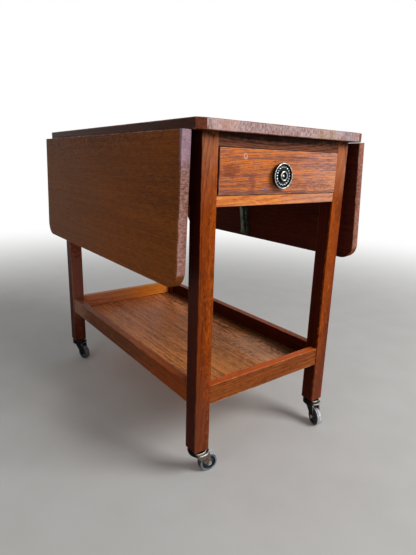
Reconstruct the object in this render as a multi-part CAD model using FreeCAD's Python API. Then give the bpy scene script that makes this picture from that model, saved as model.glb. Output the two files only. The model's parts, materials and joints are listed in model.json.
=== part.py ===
# Drop leaf tea trolley in oak, with one drawer, a lower shelf and castors.
#
# +Z is up and z = 0 is the floor. X runs across the trolley and Y along it: the drawer
# faces -Y, and a leaf hangs on each long side. The pieces are built about the middle of the
# leg frame, and saved so that the origin is on the floor under the middle of the whole box:
# the leaves lean out unequally, so that middle is a little to the right of the frame's.

import FreeCAD, Part
import math
import os

V = FreeCAD.Vector
X_AXIS = V(1, 0, 0)
Y_AXIS = V(0, 1, 0)
Z_AXIS = V(0, 0, 1)

# ---------------------------------------------------------------- driving sizes, mm and degrees
# Leg frame
leg_side = 35.0                # square section of a leg
frame_width = 395.0            # over the legs, side to side
frame_length = 716.0           # over the legs, front to back
foot_height = 62.0             # floor to the end of a leg: the drop of a castor
leg_length = 627.0             # foot to the underside of the top
leg_arris = 1.5                # rounding of a leg's long edges
foot_bevel = 1.0               # bevel round the end of a leg
origin_back = 13.1             # the frame's middle stands this far behind the origin
origin_left = 6.2              # and this far to its left
near_enough = 0.01             # for telling faces and edges apart by their place

# Joints of the frame
shoulder = 5.0                 # a tenon is this much smaller than its rail, on each face
tenon_across = 12.0            # length of the tenons that run side to side
tenon_along = 20.0             # length of the tenons that run front to back
glue_gap = 0.1                 # play of a tenon, tongue or dovetail in its socket

# Top and leaves
board = 19.0                   # thickness of the top and of a leaf
top_side_overhang = 25.0
top_front_overhang = 21.0
top_rear_overhang = 4.0
top_corner_across = 19.0       # the top's corners are cut off slantwise: along its ends,
top_corner_along = 7.0         # and along its sides
top_corner_ease = 2.5          # rounding of the two edges that each cut leaves
board_arris = 1.8              # rounding of the boards' edges
leaf_width = 268.0             # hinge edge to free edge
leaf_front_overhang = 9.0      # beyond the front legs
leaf_rear_inset = 18.0         # short of the rear legs
leaf_corner_radius = 35.0
joint_gap = 0.3                # between the top's edge and a raised leaf
hang_splay = {                 # how far each hanging leaf leans outward, degrees
    "left": 1.9,
    "right": 4.6,
}

# Aprons and drawer rails
apron_thickness = 18.0
apron_depth = 128.0
apron_setback = 3.0            # behind the faces of the legs
drawer_top_rail_height = 24.0
drawer_bottom_rail_height = 20.0
drawer_rail_depth = 33.0
drawer_rail_setback = 1.0
rail_arris = 1.2

# Drawer
drawer_front_thickness = 18.0
drawer_front_proud = 2.5       # in front of the legs
drawer_side_gap = 1.5          # each end of the drawer front
drawer_edge_gap = 0.5          # above and below the drawer front
drawer_box_length = 370.0      # behind the drawer front
drawer_side_thickness = 11.0
drawer_side_height = 80.0
drawer_side_inset = 0.5        # a side stands this far inside the end of the front
drawer_back_thickness = 10.0
drawer_back_drop = 8.0         # the back is this much lower than the sides
drawer_back_inset = 15.0       # the sides run on past the back
drawer_bottom_thickness = 5.0
bottom_groove_height = 10.0    # from a side's lower edge to the groove
groove_depth = 5.0
housing_depth = 4.0            # of the back in the sides
slide_gap = 0.3                # under and behind the closed drawer
guide_gap = 0.5                # beside a drawer side
dovetail_count = 3
dovetail_lap = 12.0            # length of a tail
dovetail_narrow = 11.0         # width of a tail at its root
dovetail_flare = 2.2           # a tail is this much wider on each side at its end
dovetail_edge = 9.0            # from a side's edge to the nearest tail

# Runners, kickers and stops
bearer_width = 22.5            # part of a runner or kicker under or over the drawer's side
guide_height = 20.0            # of the strip beside the drawer
stop_width = 30.0
stop_length = 14.0
stop_height = 6.0
stop_from_middle = 105.0

# Knob
knob_radius = 25.0
knob_reach = 12.0              # out from the drawer front to the boss
knob_left = 10.5               # to the left of the middle of the drawer front
knob_drop = 6.7                # below it
knob_foot_radius = 15.0
knob_foot_height = 3.0
knob_edge_radius = 2.4         # rounding of the disc's back edge
knob_rim_height = 10.5         # out from the drawer front to the rim
knob_rim_width = 3.2
knob_rim_crown = 1.3           # how far the rim is rounded up
knob_recess_depth = 3.6        # from the rim down to the floor
knob_bead_count = 20
knob_bead_radius = 2.2
knob_bead_circle = 16.8
knob_bead_sink = 0.5           # a bead's centre stands this far above the floor
knob_boss_radius = 10.4
knob_cup_radius = 6.6
knob_cup_depth = 3.4
knob_dome_radius = 3.4
knob_dome_height = 1.6
knob_wall_slope = 0.6          # how far a wall leans back over its height
knob_tapping_depth = 6.0
bolt_radius = 2.0
bolt_head_radius = 4.0
bolt_head_height = 3.0
bolt_head_round = 1.0
pin_gap = 0.05                 # radial play of pins, bolts, screws and axles

# Lower shelf
shelf_bottom = 164.0           # floor to the underside of the rails
shelf_rail_height = 41.0
shelf_rail_thickness = 19.0
shelf_rail_setback = 2.5
shelf_panel_thickness = 4.0
rebate_width = 9.0
panel_gap = 0.3                # between the panel and the legs or the rebates

# Hinges
hinge_drop = 1.6               # pin below the underside of the boards
hinge_under_leaf = 0.6         # pin in from the edge of the raised leaf
hinge_length = 50.0
hinge_knuckles = 5
hinge_flap_thickness = 1.2
hinge_top_flap = 22.0          # width of the flap under the top
hinge_leaf_flap = 32.0         # width of the flap on the leaf
hinge_flap_corner = 3.0        # rounding of a flap's corners
hinge_pin_radius = 0.8
hinge_spacing = 480.0          # between the two hinges of a leaf
knuckle_gap = 0.2              # between knuckles, and round them
top_flap_screws = 13.0         # from the pin to the row of screws under the top
leaf_flap_screws = 21.0        # from the pin to the row of screws on the leaf
hinge_screw_pitch = 17.0
hinge_screw_count = 3

# Screws
screw_radius = 1.6
screw_length = 12.0
screw_head_radius = 3.2
screw_head_height = 1.3
top_screw_length = 32.0
top_screw_count = 3            # in each kicker
top_screw_spacing = 240.0

# Leaf stays
stay_y = 15.0                  # from the frame's middle towards the rear
stay_pivot_out = 9.0           # from the apron's face to the rivet
stay_pivot_drop = 60.0         # from the underside of the top to the rivet
stay_arm_length = 194.0        # rivet to shoe
stay_arm_width = 12.0
stay_arm_depth = 8.0
stay_eye_radius = 5.0
stay_shoe_radius = 4.2
stay_side_play = 0.4           # between the shoe and each wall of its track
stay_ear_thickness = 2.0
stay_plate_thickness = 2.0
stay_plate_height = 44.0
stay_plate_width = 30.0
stay_screw_pitch = 30.0
rivet_radius = 2.0
rivet_head_radius = 3.6
rivet_head_height = 1.4
track_width = 26.0
track_depth = 10.0
track_wall = 1.6
track_fold = 1.4               # rounding of the folded corners
track_run_in = 18.0            # track beyond the shoe when the leaf is up
track_screw_count = 3
track_screw_inset = 12.0

# Castors
castor_plate_radius = 16.5
castor_plate_thickness = 2.5
castor_plate_round = 1.5
castor_stem_radius = 5.0
castor_stem_length = 36.0
castor_race_radius = 20.0
castor_race_thickness = 5.0
castor_race_round = 1.6
kingpin_radius = 4.0
kingpin_head_radius = 7.0
kingpin_head_height = 2.5
fork_crown_radius = 22.0
fork_crown_offset = 4.5        # of the crown's middle from the kingpin, towards the wheel
fork_crown_thickness = 3.5
fork_gap = 0.3                 # between the fork and the plate, and over the kingpin's head
fork_wall = 2.4
fork_boss_radius = 6.0
castor_trail = 26.0
wheel_radius = 21.0
wheel_width = 15.0
wheel_side_gap = 0.6
wheel_web_width = 8.0
wheel_web_slope = 1.0          # how far the rim and hub widen towards the web
wheel_hub_radius = 6.5
wheel_rim_depth = 5.5
wheel_edge = 3.0               # rounding of the tread
axle_radius = 2.5
axle_head_radius = 4.2
axle_head_height = 1.8
castor_angles = {              # direction in which each wheel trails, from +X
    "front_left": -8.0,
    "front_right": -108.0,
    "rear_left": -75.0,
    "rear_right": -90.0,
}

# ---------------------------------------------------------------- places worked out from them
side_face = frame_width / 2            # outer face of the right legs
side_inner = side_face - leg_side      # inner face of the right legs
end_face = frame_length / 2            # outer face of the rear legs
end_inner = end_face - leg_side        # inner face of the rear legs
under_top = foot_height + leg_length   # underside of the top
top_face = under_top + board
apron_bottom = under_top - apron_depth
apron_outer = side_face - apron_setback
apron_inner = apron_outer - apron_thickness
opening_top = under_top - drawer_top_rail_height
opening_bottom = apron_bottom + drawer_bottom_rail_height
drawer_rail_front = -end_face + drawer_rail_setback
drawer_rail_back = drawer_rail_front + drawer_rail_depth
rear_apron_outer = end_face - apron_setback
rear_apron_inner = rear_apron_outer - apron_thickness
drawer_face = -end_face - drawer_front_proud
drawer_front_back = drawer_face + drawer_front_thickness
drawer_end = drawer_front_back + drawer_box_length
drawer_half = side_inner - drawer_side_gap
drawer_side_outer = drawer_half - drawer_side_inset
drawer_side_inner = drawer_side_outer - drawer_side_thickness
drawer_low = opening_bottom + slide_gap
drawer_front_low = opening_bottom + drawer_edge_gap
drawer_front_high = opening_top - drawer_edge_gap
bottom_low = drawer_low + bottom_groove_height
bottom_high = bottom_low + drawer_bottom_thickness
drawer_side_high = drawer_low + drawer_side_height
knob_place = V(-knob_left, drawer_face, (drawer_front_low + drawer_front_high) / 2 - knob_drop)
shelf_rail_outer = side_face - shelf_rail_setback
shelf_rail_inner = shelf_rail_outer - shelf_rail_thickness
shelf_end_outer = end_face - shelf_rail_setback
shelf_end_inner = shelf_end_outer - shelf_rail_thickness
shelf_rail_top = shelf_bottom + shelf_rail_height
shelf_top = shelf_bottom + shelf_panel_thickness
top_edge = side_face + top_side_overhang
leaf_edge = top_edge + joint_gap       # hinge edge of the raised right leaf
hinge_x = leaf_edge + hinge_under_leaf
hinge_z = under_top - hinge_drop
leaf_front = -end_face - leaf_front_overhang
leaf_rear = end_face - leaf_rear_inset
leaf_middle = (leaf_front + leaf_rear) / 2
hinge_places = [leaf_middle - hinge_spacing / 2, leaf_middle + hinge_spacing / 2]
hang_angle = {side: 90.0 - lean for side, lean in hang_splay.items()}  # down from level
track_inside = track_width - 2 * track_wall
shoe_depth = track_wall + slide_gap + stay_shoe_radius
shoe_line = hinge_drop + shoe_depth    # from the hinge pin to the line on which the shoe slides
rivet_x = apron_outer + stay_pivot_out
rivet_z = under_top - stay_pivot_drop
plate_low = foot_height - castor_plate_thickness
race_low = plate_low - castor_race_thickness
crown_top = race_low - fork_gap
crown_low = crown_top - fork_crown_thickness
cheek_inner = wheel_width / 2 + wheel_side_gap
cheek_outer = cheek_inner + fork_wall


# ---------------------------------------------------------------- tools for shapes
def block(x0, x1, y0, y1, z0, z1):
    """A box between two corners."""
    return Part.makeBox(x1 - x0, y1 - y0, z1 - z0, V(x0, y0, z0))


def rod(radius, start, direction, length):
    """A round bar from a point, along a direction."""
    return Part.makeCylinder(radius, length, start, direction)


def runs_along(edge, axis):
    """True for a straight edge that is parallel to the axis."""
    if not isinstance(edge.Curve, Part.Line):
        return False
    return abs(abs(edge.tangentAt(edge.FirstParameter).dot(axis)) - 1) < 1e-6


def long_edges(shape, axis, shortest, choose=lambda middle: True):
    """Straight edges along an axis, longer than a given length, that the choice accepts."""
    found = []
    for edge in shape.Edges:
        if runs_along(edge, axis) and edge.Length > shortest:
            if choose(edge.CenterOfMass):
                found.append(edge)
    return found


def turned(shape, centre, axis, angle):
    """A copy of the shape, turned by degrees about an axis."""
    copy = shape.copy()
    copy.rotate(centre, axis, angle)
    return copy


def mirrored(shape):
    """The same piece on the other side of the trolley."""
    return shape.mirror(V(0, 0, 0), X_AXIS)


def joined(shapes):
    """Touching or crossing shapes as one clean solid."""
    first = shapes[0]
    return first.fuse(shapes[1:]).removeSplitter()


def outline(points, plane_shift, thickness):
    """A flat plate with a straight-edged outline in X and Z, thickened along Y."""
    corners = [V(x, plane_shift, z) for x, z in points]
    face = Part.Face(Part.makePolygon(corners + corners[:1]))
    return face.extrude(V(0, thickness, 0))


# ---------------------------------------------------------------- rails, tenons and mortises
def tenon_pair(x0, x1, y0, y1, z0, z1, across, play):
    """The two tenons of a rail, grown by the play: they run past both shoulders."""
    if across:
        reach = tenon_across + play
        return [
            block(x, x + reach, y0 + shoulder - play, y1 - shoulder + play,
                  z0 + shoulder - play, z1 - shoulder + play)
            for x in (x0 - reach, x1)
        ]
    reach = tenon_along + play
    return [
        block(x0 + shoulder - play, x1 - shoulder + play, y, y + reach,
              z0 + shoulder - play, z1 - shoulder + play)
        for y in (y0 - reach, y1)
    ]


# Each rail between two legs: its box between the shoulders, and whether it runs side to side.
rails = {
    "right_apron": (apron_inner, apron_outer, -end_inner, end_inner,
                    apron_bottom, under_top, False),
    "left_apron": (-apron_outer, -apron_inner, -end_inner, end_inner,
                   apron_bottom, under_top, False),
    "rear_apron": (-side_inner, side_inner, rear_apron_inner, rear_apron_outer,
                   apron_bottom, under_top, True),
    "drawer_top_rail": (-side_inner, side_inner, drawer_rail_front, drawer_rail_back,
                        opening_top, under_top, True),
    "drawer_bottom_rail": (-side_inner, side_inner, drawer_rail_front, drawer_rail_back,
                           apron_bottom, opening_bottom, True),
    "shelf_right_rail": (shelf_rail_inner, shelf_rail_outer, -end_inner, end_inner,
                         shelf_bottom, shelf_rail_top, False),
    "shelf_left_rail": (-shelf_rail_outer, -shelf_rail_inner, -end_inner, end_inner,
                        shelf_bottom, shelf_rail_top, False),
    "shelf_front_rail": (-side_inner, side_inner, -shelf_end_outer, -shelf_end_inner,
                         shelf_bottom, shelf_rail_top, True),
    "shelf_rear_rail": (-side_inner, side_inner, shelf_end_inner, shelf_end_outer,
                        shelf_bottom, shelf_rail_top, True),
}


def rail(name, eased):
    """A rail with its arrises eased and a tenon on each end."""
    x0, x1, y0, y1, z0, z1, across = rails[name]
    body = block(x0, x1, y0, y1, z0, z1)
    axis = X_AXIS if across else Y_AXIS
    edges = long_edges(body, axis, leg_side, eased)
    if edges:
        body = body.makeFillet(rail_arris, edges)
    return joined([body] + tenon_pair(x0, x1, y0, y1, z0, z1, across, 0.0))


def leg(x_side, y_side):
    """A leg with its mortises and the bore for its castor."""
    x0 = side_inner if x_side > 0 else -side_face
    y0 = end_inner if y_side > 0 else -end_face
    body = block(x0, x0 + leg_side, y0, y0 + leg_side, foot_height, under_top)
    body = body.makeFillet(leg_arris, long_edges(body, Z_AXIS, leg_side))
    foot = [e for e in body.Edges if e.BoundBox.ZMax < foot_height + leg_arris]
    body = body.makeChamfer(foot_bevel, foot)
    cuts = []
    for box in rails.values():
        for tenon in tenon_pair(*box, glue_gap):
            if tenon.BoundBox.intersect(body.BoundBox):
                cuts.append(tenon)
    middle = V(x0 + leg_side / 2, y0 + leg_side / 2, foot_height)
    depth = castor_stem_length + glue_gap
    cuts.append(rod(castor_stem_radius + pin_gap, middle, Z_AXIS, depth))
    return body.cut(cuts)


def shelf_rail(name):
    """A shelf rail: a rail with a rebate for the panel along its lower inner edge."""
    across = rails[name][6]
    body = rail(name, lambda middle: middle.z > shelf_bottom + shelf_rail_height / 2)
    reach_x = shelf_rail_inner + rebate_width
    reach_y = shelf_end_inner + rebate_width
    if across:
        rebate = block(-side_inner, side_inner, -reach_y, reach_y, shelf_bottom, shelf_top)
    else:
        rebate = block(-reach_x, reach_x, -end_inner, end_inner, shelf_bottom, shelf_top)
    return body.cut(rebate)


def shelf_panel():
    """The shelf: one panel, notched round the legs, seated up in the rails' rebates."""
    wide = shelf_rail_inner + rebate_width - panel_gap
    long = shelf_end_inner + rebate_width - panel_gap
    between_x = side_inner - panel_gap
    between_y = end_inner - panel_gap
    return joined([
        block(-wide, wide, -between_y, between_y, shelf_bottom, shelf_top),
        block(-between_x, between_x, -long, long, shelf_bottom, shelf_top),
    ])


# ---------------------------------------------------------------- screws
def screw(head, direction, length=screw_length):
    """A countersunk screw: the middle of its flat head, the way it points, its length."""
    cone = Part.makeCone(screw_head_radius, screw_radius, screw_head_height, head, direction)
    return joined([cone, rod(screw_radius, head, direction, length)])


def screw_hole(head, direction, length=screw_length):
    """The countersunk hole that a screw fills, with its play."""
    cone = Part.makeCone(screw_head_radius + pin_gap, screw_radius + pin_gap,
                         screw_head_height, head, direction)
    return joined([cone, rod(screw_radius + pin_gap, head, direction, length + glue_gap)])


def hinge_screw_heads(distance):
    """Heads of the screws in the hinge flaps of one side, at a distance from the pin."""
    middle = (hinge_screw_count - 1) / 2
    return [
        V(hinge_x + distance, place + (i - middle) * hinge_screw_pitch,
          under_top - hinge_flap_thickness)
        for place in hinge_places
        for i in range(hinge_screw_count)
    ]


def top_flap_heads():
    """Screws of the flaps under the top, on the right side."""
    return hinge_screw_heads(-top_flap_screws)


def leaf_flap_heads():
    """Screws of the flaps on the raised right leaf."""
    return hinge_screw_heads(leaf_flap_screws)


def track_heads():
    """Screws of the track on the raised right leaf."""
    first, last = track_ends()
    step = (last - first - 2 * track_screw_inset) / (track_screw_count - 1)
    return [
        V(hinge_x + first + track_screw_inset + i * step, stay_y, under_top - track_wall)
        for i in range(track_screw_count)
    ]


def bracket_heads():
    """Screws of the right stay's bracket."""
    return [
        V(apron_outer + stay_plate_thickness, stay_y, rivet_z + shift)
        for shift in (-stay_screw_pitch / 2, stay_screw_pitch / 2)
    ]


def top_screw_heads():
    """Screws that go up through the right kicker into the top."""
    middle = (top_screw_count - 1) / 2
    return [
        V(side_inner - bearer_width / 2, (i - middle) * top_screw_spacing, opening_top)
        for i in range(top_screw_count)
    ]


# ---------------------------------------------------------------- top and leaves
def top_board():
    """The fixed top: its corners cut off, its edges eased, screw holes underneath."""
    front = -end_face - top_front_overhang
    rear = end_face + top_rear_overhang
    inset = top_edge - top_corner_across
    right = [
        V(inset, front, under_top),
        V(top_edge, front + top_corner_along, under_top),
        V(top_edge, rear - top_corner_along, under_top),
        V(inset, rear, under_top),
    ]
    left = [V(-corner.x, corner.y, corner.z) for corner in reversed(right)]
    plan = Part.Face(Part.makePolygon(right + left + right[:1]))
    body = plan.extrude(V(0, 0, board))
    body = body.makeFillet(top_corner_ease, long_edges(body, Z_AXIS, board / 2))
    rim = [e for e in body.Edges if e.BoundBox.ZLength < board / 2]
    body = body.makeFillet(board_arris, rim)
    holes = []
    for head in top_flap_heads():
        holes.append(screw_hole(head, Z_AXIS))
    for head in top_screw_heads():
        holes.append(screw_hole(head, Z_AXIS, top_screw_length))
    return body.cut(holes + [mirrored(hole) for hole in holes])


def raised_leaf():
    """The right leaf, level with the top."""
    body = block(leaf_edge, leaf_edge + leaf_width, leaf_front, leaf_rear, under_top, top_face)
    corners = long_edges(body, Z_AXIS, board / 2, lambda middle: middle.x > leaf_edge + board)
    body = body.makeFillet(leaf_corner_radius, corners)
    rim = [e for e in body.Edges if e.BoundBox.ZLength < board / 2]
    body = body.makeFillet(board_arris, rim)
    holes = [screw_hole(head, Z_AXIS) for head in leaf_flap_heads() + track_heads()]
    return body.cut(holes)


def hung(shape, angle):
    """A piece of the raised right leaf, swung down by an angle."""
    return turned(shape, V(hinge_x, 0, hinge_z), Y_AXIS, angle)


# ---------------------------------------------------------------- hinges
def hinge_flap(place, direction, width, first):
    """One flap of a backflap hinge, with every other knuckle from the first one."""
    near = hinge_x + direction * (hinge_drop + knuckle_gap)
    far = hinge_x + direction * width
    low = under_top - hinge_flap_thickness
    start = place - hinge_length / 2
    flap = block(min(near, far), max(near, far), start, start + hinge_length, low, under_top)
    corners = long_edges(flap, Z_AXIS, near_enough, lambda m: abs(m.x - far) < near_enough)
    parts = [flap.makeFillet(hinge_flap_corner, corners)]
    pitch = hinge_length / hinge_knuckles
    for i in range(first, hinge_knuckles, 2):
        y0 = start + i * pitch + knuckle_gap / 2
        length = pitch - knuckle_gap
        parts.append(rod(hinge_drop - knuckle_gap, V(hinge_x, y0, hinge_z), Y_AXIS, length))
        parts.append(block(min(hinge_x, near), max(hinge_x, near), y0, y0 + length,
                           low, under_top - knuckle_gap))
    bore = rod(hinge_pin_radius + pin_gap, V(hinge_x, start, hinge_z), Y_AXIS, hinge_length)
    return joined(parts).cut(bore)


def top_flaps():
    """The two flaps under the right edge of the top."""
    holes = [screw_hole(head, Z_AXIS) for head in top_flap_heads()]
    return [hinge_flap(place, -1, hinge_top_flap, 0).cut(holes) for place in hinge_places]


def leaf_flaps():
    """The two flaps on the raised right leaf."""
    holes = [screw_hole(head, Z_AXIS) for head in leaf_flap_heads()]
    return [hinge_flap(place, 1, hinge_leaf_flap, 1).cut(holes) for place in hinge_places]


def hinge_pins():
    """The two hinge pins of the right leaf."""
    return [
        rod(hinge_pin_radius, V(hinge_x, place - hinge_length / 2, hinge_z), Y_AXIS, hinge_length)
        for place in hinge_places
    ]


# ---------------------------------------------------------------- leaf stays
def shoe_reach(leaf_angle):
    """How far along a leaf the shoe stands, and where it is, for a leaf at an angle below level.

    The shoe keeps its distance from the leaf's underside, and the arm keeps its length."""
    angle = math.radians(leaf_angle)
    along = V(math.cos(angle), 0, -math.sin(angle))
    inward = V(-math.sin(angle), 0, -math.cos(angle))
    start = V(hinge_x, 0, hinge_z) + inward * shoe_line - V(rivet_x, 0, rivet_z)
    slope = start.dot(along)
    reach = -slope + math.sqrt(slope ** 2 - start.dot(start) + stay_arm_length ** 2)
    return reach, start + along * reach


def track_ends():
    """Distances from the hinge pin at which the track begins and ends."""
    begin = shoe_reach(0.0)[0] - track_run_in
    farthest = max(shoe_reach(angle)[0] for angle in hang_angle.values())
    return begin, farthest + stay_shoe_radius + slide_gap + track_wall


def stay_track():
    """The channel on the raised right leaf, folded shut at its outer end."""
    begin, end = track_ends()
    x0 = hinge_x + begin
    x1 = hinge_x + end
    y0 = stay_y - track_width / 2
    y1 = stay_y + track_width / 2
    low = under_top - track_depth
    body = block(x0, x1, y0, y1, low, under_top)
    hollow = block(x0, x1 - track_wall, y0 + track_wall, y1 - track_wall,
                   low, under_top - track_wall)
    body = body.cut(hollow)
    corners = long_edges(body, Z_AXIS, track_depth / 2,
                         lambda m: abs(m.x - x1) < near_enough)
    body = body.makeFillet(track_fold, corners)
    return body.cut([screw_hole(head, Z_AXIS) for head in track_heads()])


def stay_arm(angle):
    """The right arm, with its leaf at an angle below level: an eye, a bar and a round shoe."""
    to_shoe = shoe_reach(angle)[1]
    half = stay_arm_width / 2
    shoe_half = track_inside / 2 - stay_side_play
    body = joined([
        block(0, stay_arm_length, -half, half, -stay_arm_depth / 2, stay_arm_depth / 2),
        rod(stay_eye_radius, V(0, -half, 0), Y_AXIS, stay_arm_width),
        rod(stay_shoe_radius, V(stay_arm_length, -shoe_half, 0), Y_AXIS, 2 * shoe_half),
    ])
    body = body.cut(rod(rivet_radius + pin_gap, V(0, -half, 0), Y_AXIS, stay_arm_width))
    slope = math.degrees(math.atan2(-to_shoe.z, to_shoe.x))
    body.rotate(V(0, 0, 0), Y_AXIS, slope)
    body.translate(V(rivet_x, stay_y, rivet_z))
    return body


def stay_bracket():
    """The right bracket: a plate on the apron with two ears for the rivet."""
    back = apron_outer + stay_plate_thickness
    half = stay_plate_height / 2
    plate = block(apron_outer, back, stay_y - stay_plate_width / 2,
                  stay_y + stay_plate_width / 2, rivet_z - half, rivet_z + half)
    plate = plate.makeFillet(rivet_head_radius, long_edges(plate, X_AXIS, near_enough))
    parts = [plate]
    inner = stay_arm_width / 2 + slide_gap
    for y0 in (stay_y - inner - stay_ear_thickness, stay_y + inner):
        parts.append(rod(stay_eye_radius, V(rivet_x, y0, rivet_z), Y_AXIS, stay_ear_thickness))
        parts.append(outline([
            (back, rivet_z - 2 * stay_eye_radius),
            (rivet_x, rivet_z - stay_eye_radius),
            (rivet_x, rivet_z + stay_eye_radius),
            (back, rivet_z + 2 * stay_eye_radius),
        ], y0, stay_ear_thickness))
    body = joined(parts)
    bore = rod(rivet_radius + pin_gap, V(rivet_x, stay_y - stay_plate_width, rivet_z),
               Y_AXIS, 2 * stay_plate_width)
    return body.cut([bore] + [screw_hole(head, -X_AXIS) for head in bracket_heads()])


def stay_rivet():
    """The rivet that the right arm turns on, headed outside both ears."""
    outer = stay_arm_width / 2 + slide_gap + stay_ear_thickness
    low = V(rivet_x, stay_y - outer, rivet_z)
    high = V(rivet_x, stay_y + outer, rivet_z)
    return joined([
        rod(rivet_radius, low, Y_AXIS, 2 * outer),
        rod(rivet_head_radius, low, -Y_AXIS, rivet_head_height),
        rod(rivet_head_radius, high, Y_AXIS, rivet_head_height),
    ])


# ---------------------------------------------------------------- drawer
def tail(index, play, outer):
    """One dovetail of the right side: it flares towards the front, for a side or its socket."""
    pitch = (drawer_side_height - 2 * dovetail_edge - dovetail_narrow) / (dovetail_count - 1)
    low = drawer_low + dovetail_edge + index * pitch - play
    high = low + dovetail_narrow + 2 * play
    root = drawer_front_back + glue_gap
    tip = drawer_front_back - dovetail_lap - play
    corners = [
        V(drawer_side_inner - play, root, low),
        V(drawer_side_inner - play, tip, low - dovetail_flare),
        V(drawer_side_inner - play, tip, high + dovetail_flare),
        V(drawer_side_inner - play, root, high),
    ]
    face = Part.Face(Part.makePolygon(corners + corners[:1]))
    return face.extrude(V(outer - drawer_side_inner + play, 0, 0))


def drawer_front():
    """The drawer front: eased face, dovetail sockets, a groove for the bottom, a bolt hole."""
    body = block(-drawer_half, drawer_half, drawer_face, drawer_front_back,
                 drawer_front_low, drawer_front_high)
    face_edges = [e for e in body.Edges if e.BoundBox.YMax < drawer_face + near_enough]
    body = body.makeFillet(board_arris, face_edges)
    cuts = []
    for i in range(dovetail_count):
        socket = tail(i, glue_gap, drawer_half + glue_gap)
        cuts += [socket, mirrored(socket)]
    cuts.append(block(-drawer_side_inner, drawer_side_inner, drawer_front_back - groove_depth,
                      drawer_front_back, bottom_low, bottom_high))
    cuts.append(rod(bolt_radius + pin_gap, knob_place, Y_AXIS, drawer_front_thickness))
    return body.cut(cuts)


def drawer_side():
    """The right side: tails in front, a groove for the bottom, a housing for the back."""
    body = block(drawer_side_inner, drawer_side_outer, drawer_front_back, drawer_end,
                 drawer_low, drawer_side_high)
    tails = [tail(i, 0.0, drawer_side_outer) for i in range(dovetail_count)]
    body = joined([body] + tails)
    groove = block(drawer_side_inner, drawer_side_inner + groove_depth, drawer_front_back,
                   drawer_end, bottom_low, bottom_high)
    back_end = drawer_end - drawer_back_inset
    housing = block(drawer_side_inner, drawer_side_inner + housing_depth,
                    back_end - drawer_back_thickness, back_end, bottom_high, drawer_side_high)
    return body.cut([groove, housing])


def drawer_back():
    """The back: it stands on the bottom and in the housings of the sides."""
    reach = drawer_side_inner + housing_depth - glue_gap
    back_end = drawer_end - drawer_back_inset
    return block(-reach, reach, back_end - drawer_back_thickness, back_end,
                 bottom_high, drawer_side_high - drawer_back_drop)


def drawer_bottom():
    """The bottom panel, in the grooves of the sides and the front."""
    reach = drawer_side_inner + groove_depth - glue_gap
    tongue = drawer_side_inner - glue_gap
    back_end = drawer_end - drawer_back_inset
    return joined([
        block(-reach, reach, drawer_front_back, back_end, bottom_low, bottom_high),
        block(-tongue, tongue, drawer_front_back - groove_depth + glue_gap, back_end,
              bottom_low, bottom_high),
    ])


def drawer_runner():
    """The right runner: a bearer under the drawer's side, and a guide strip beside it."""
    inner = side_inner - bearer_width
    guide_inner = drawer_side_outer + guide_gap
    return joined([
        block(inner, apron_inner, -end_inner, end_inner, apron_bottom, opening_bottom),
        block(inner, side_inner, drawer_rail_back, rear_apron_inner,
              apron_bottom, opening_bottom),
        block(guide_inner, apron_inner, -end_inner, end_inner,
              opening_bottom, opening_bottom + guide_height),
    ])


def drawer_kicker():
    """The right kicker, over the drawer's side: it stops the open drawer from tipping."""
    body = block(side_inner - bearer_width, side_inner, drawer_rail_back, rear_apron_inner,
                 opening_top, under_top)
    return body.cut([screw_hole(head, Z_AXIS, top_screw_length) for head in top_screw_heads()])


def drawer_stops():
    """Two blocks on the bottom rail: the drawer front comes to rest against them."""
    y0 = drawer_front_back + slide_gap
    right = block(stop_from_middle - stop_width / 2, stop_from_middle + stop_width / 2,
                  y0, y0 + stop_length, opening_bottom, opening_bottom + stop_height)
    return [right, mirrored(right)]


# ---------------------------------------------------------------- knob
def crowned(start, end, rise):
    """An arc from one point of a profile to another, at the same height, rounded up between."""
    return Part.Arc(start, (start + end) * 0.5 + V(0, 0, rise), end).toShape()


def knob_profile():
    """Half of the rosette's section: X is the distance from its axis, Z from the drawer."""
    bore = bolt_radius + pin_gap
    back = knob_foot_height
    edge = knob_edge_radius
    corner = edge * (1 - math.sqrt(0.5))
    rim = knob_rim_height - knob_rim_crown
    rim_inside = knob_radius - knob_rim_width
    floor = knob_rim_height - knob_recess_depth
    crest = knob_reach - knob_rim_crown
    cup = knob_reach - knob_cup_depth
    dome = V(0, 0, cup + knob_dome_height)
    ball = (knob_dome_radius ** 2 + knob_dome_height ** 2) / (2 * knob_dome_height)
    half = math.asin(knob_dome_radius / ball) / 2
    shoulder_point = V(ball * math.sin(half), 0, dome.z - ball + ball * math.cos(half))
    outer = [V(bore, 0, 0), V(knob_foot_radius, 0, 0), V(knob_foot_radius, 0, back),
             V(knob_radius - edge, 0, back)]
    side = [V(knob_radius, 0, back + edge), V(knob_radius, 0, rim)]
    valley = [V(rim_inside, 0, rim), V(rim_inside - knob_wall_slope, 0, floor),
              V(knob_boss_radius, 0, floor), V(knob_boss_radius - knob_wall_slope, 0, crest)]
    hollow = [V(knob_cup_radius, 0, crest), V(knob_cup_radius - knob_wall_slope, 0, cup),
              V(knob_dome_radius, 0, cup)]
    axis = [dome, V(0, 0, knob_tapping_depth), V(bore, 0, knob_tapping_depth), outer[0]]
    back_round = Part.Arc(outer[-1], V(knob_radius - corner, 0, back + corner), side[0])
    edges = [back_round.toShape(), crowned(side[-1], valley[0], knob_rim_crown),
             crowned(valley[-1], hollow[0], knob_rim_crown),
             Part.Arc(hollow[-1], shoulder_point, dome).toShape()]
    for run in (outer, side, valley, hollow, axis):
        edges += [Part.makeLine(start, end) for start, end in zip(run, run[1:])]
    return Part.Face(Part.Wire(Part.__sortEdges__(edges)))


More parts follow.
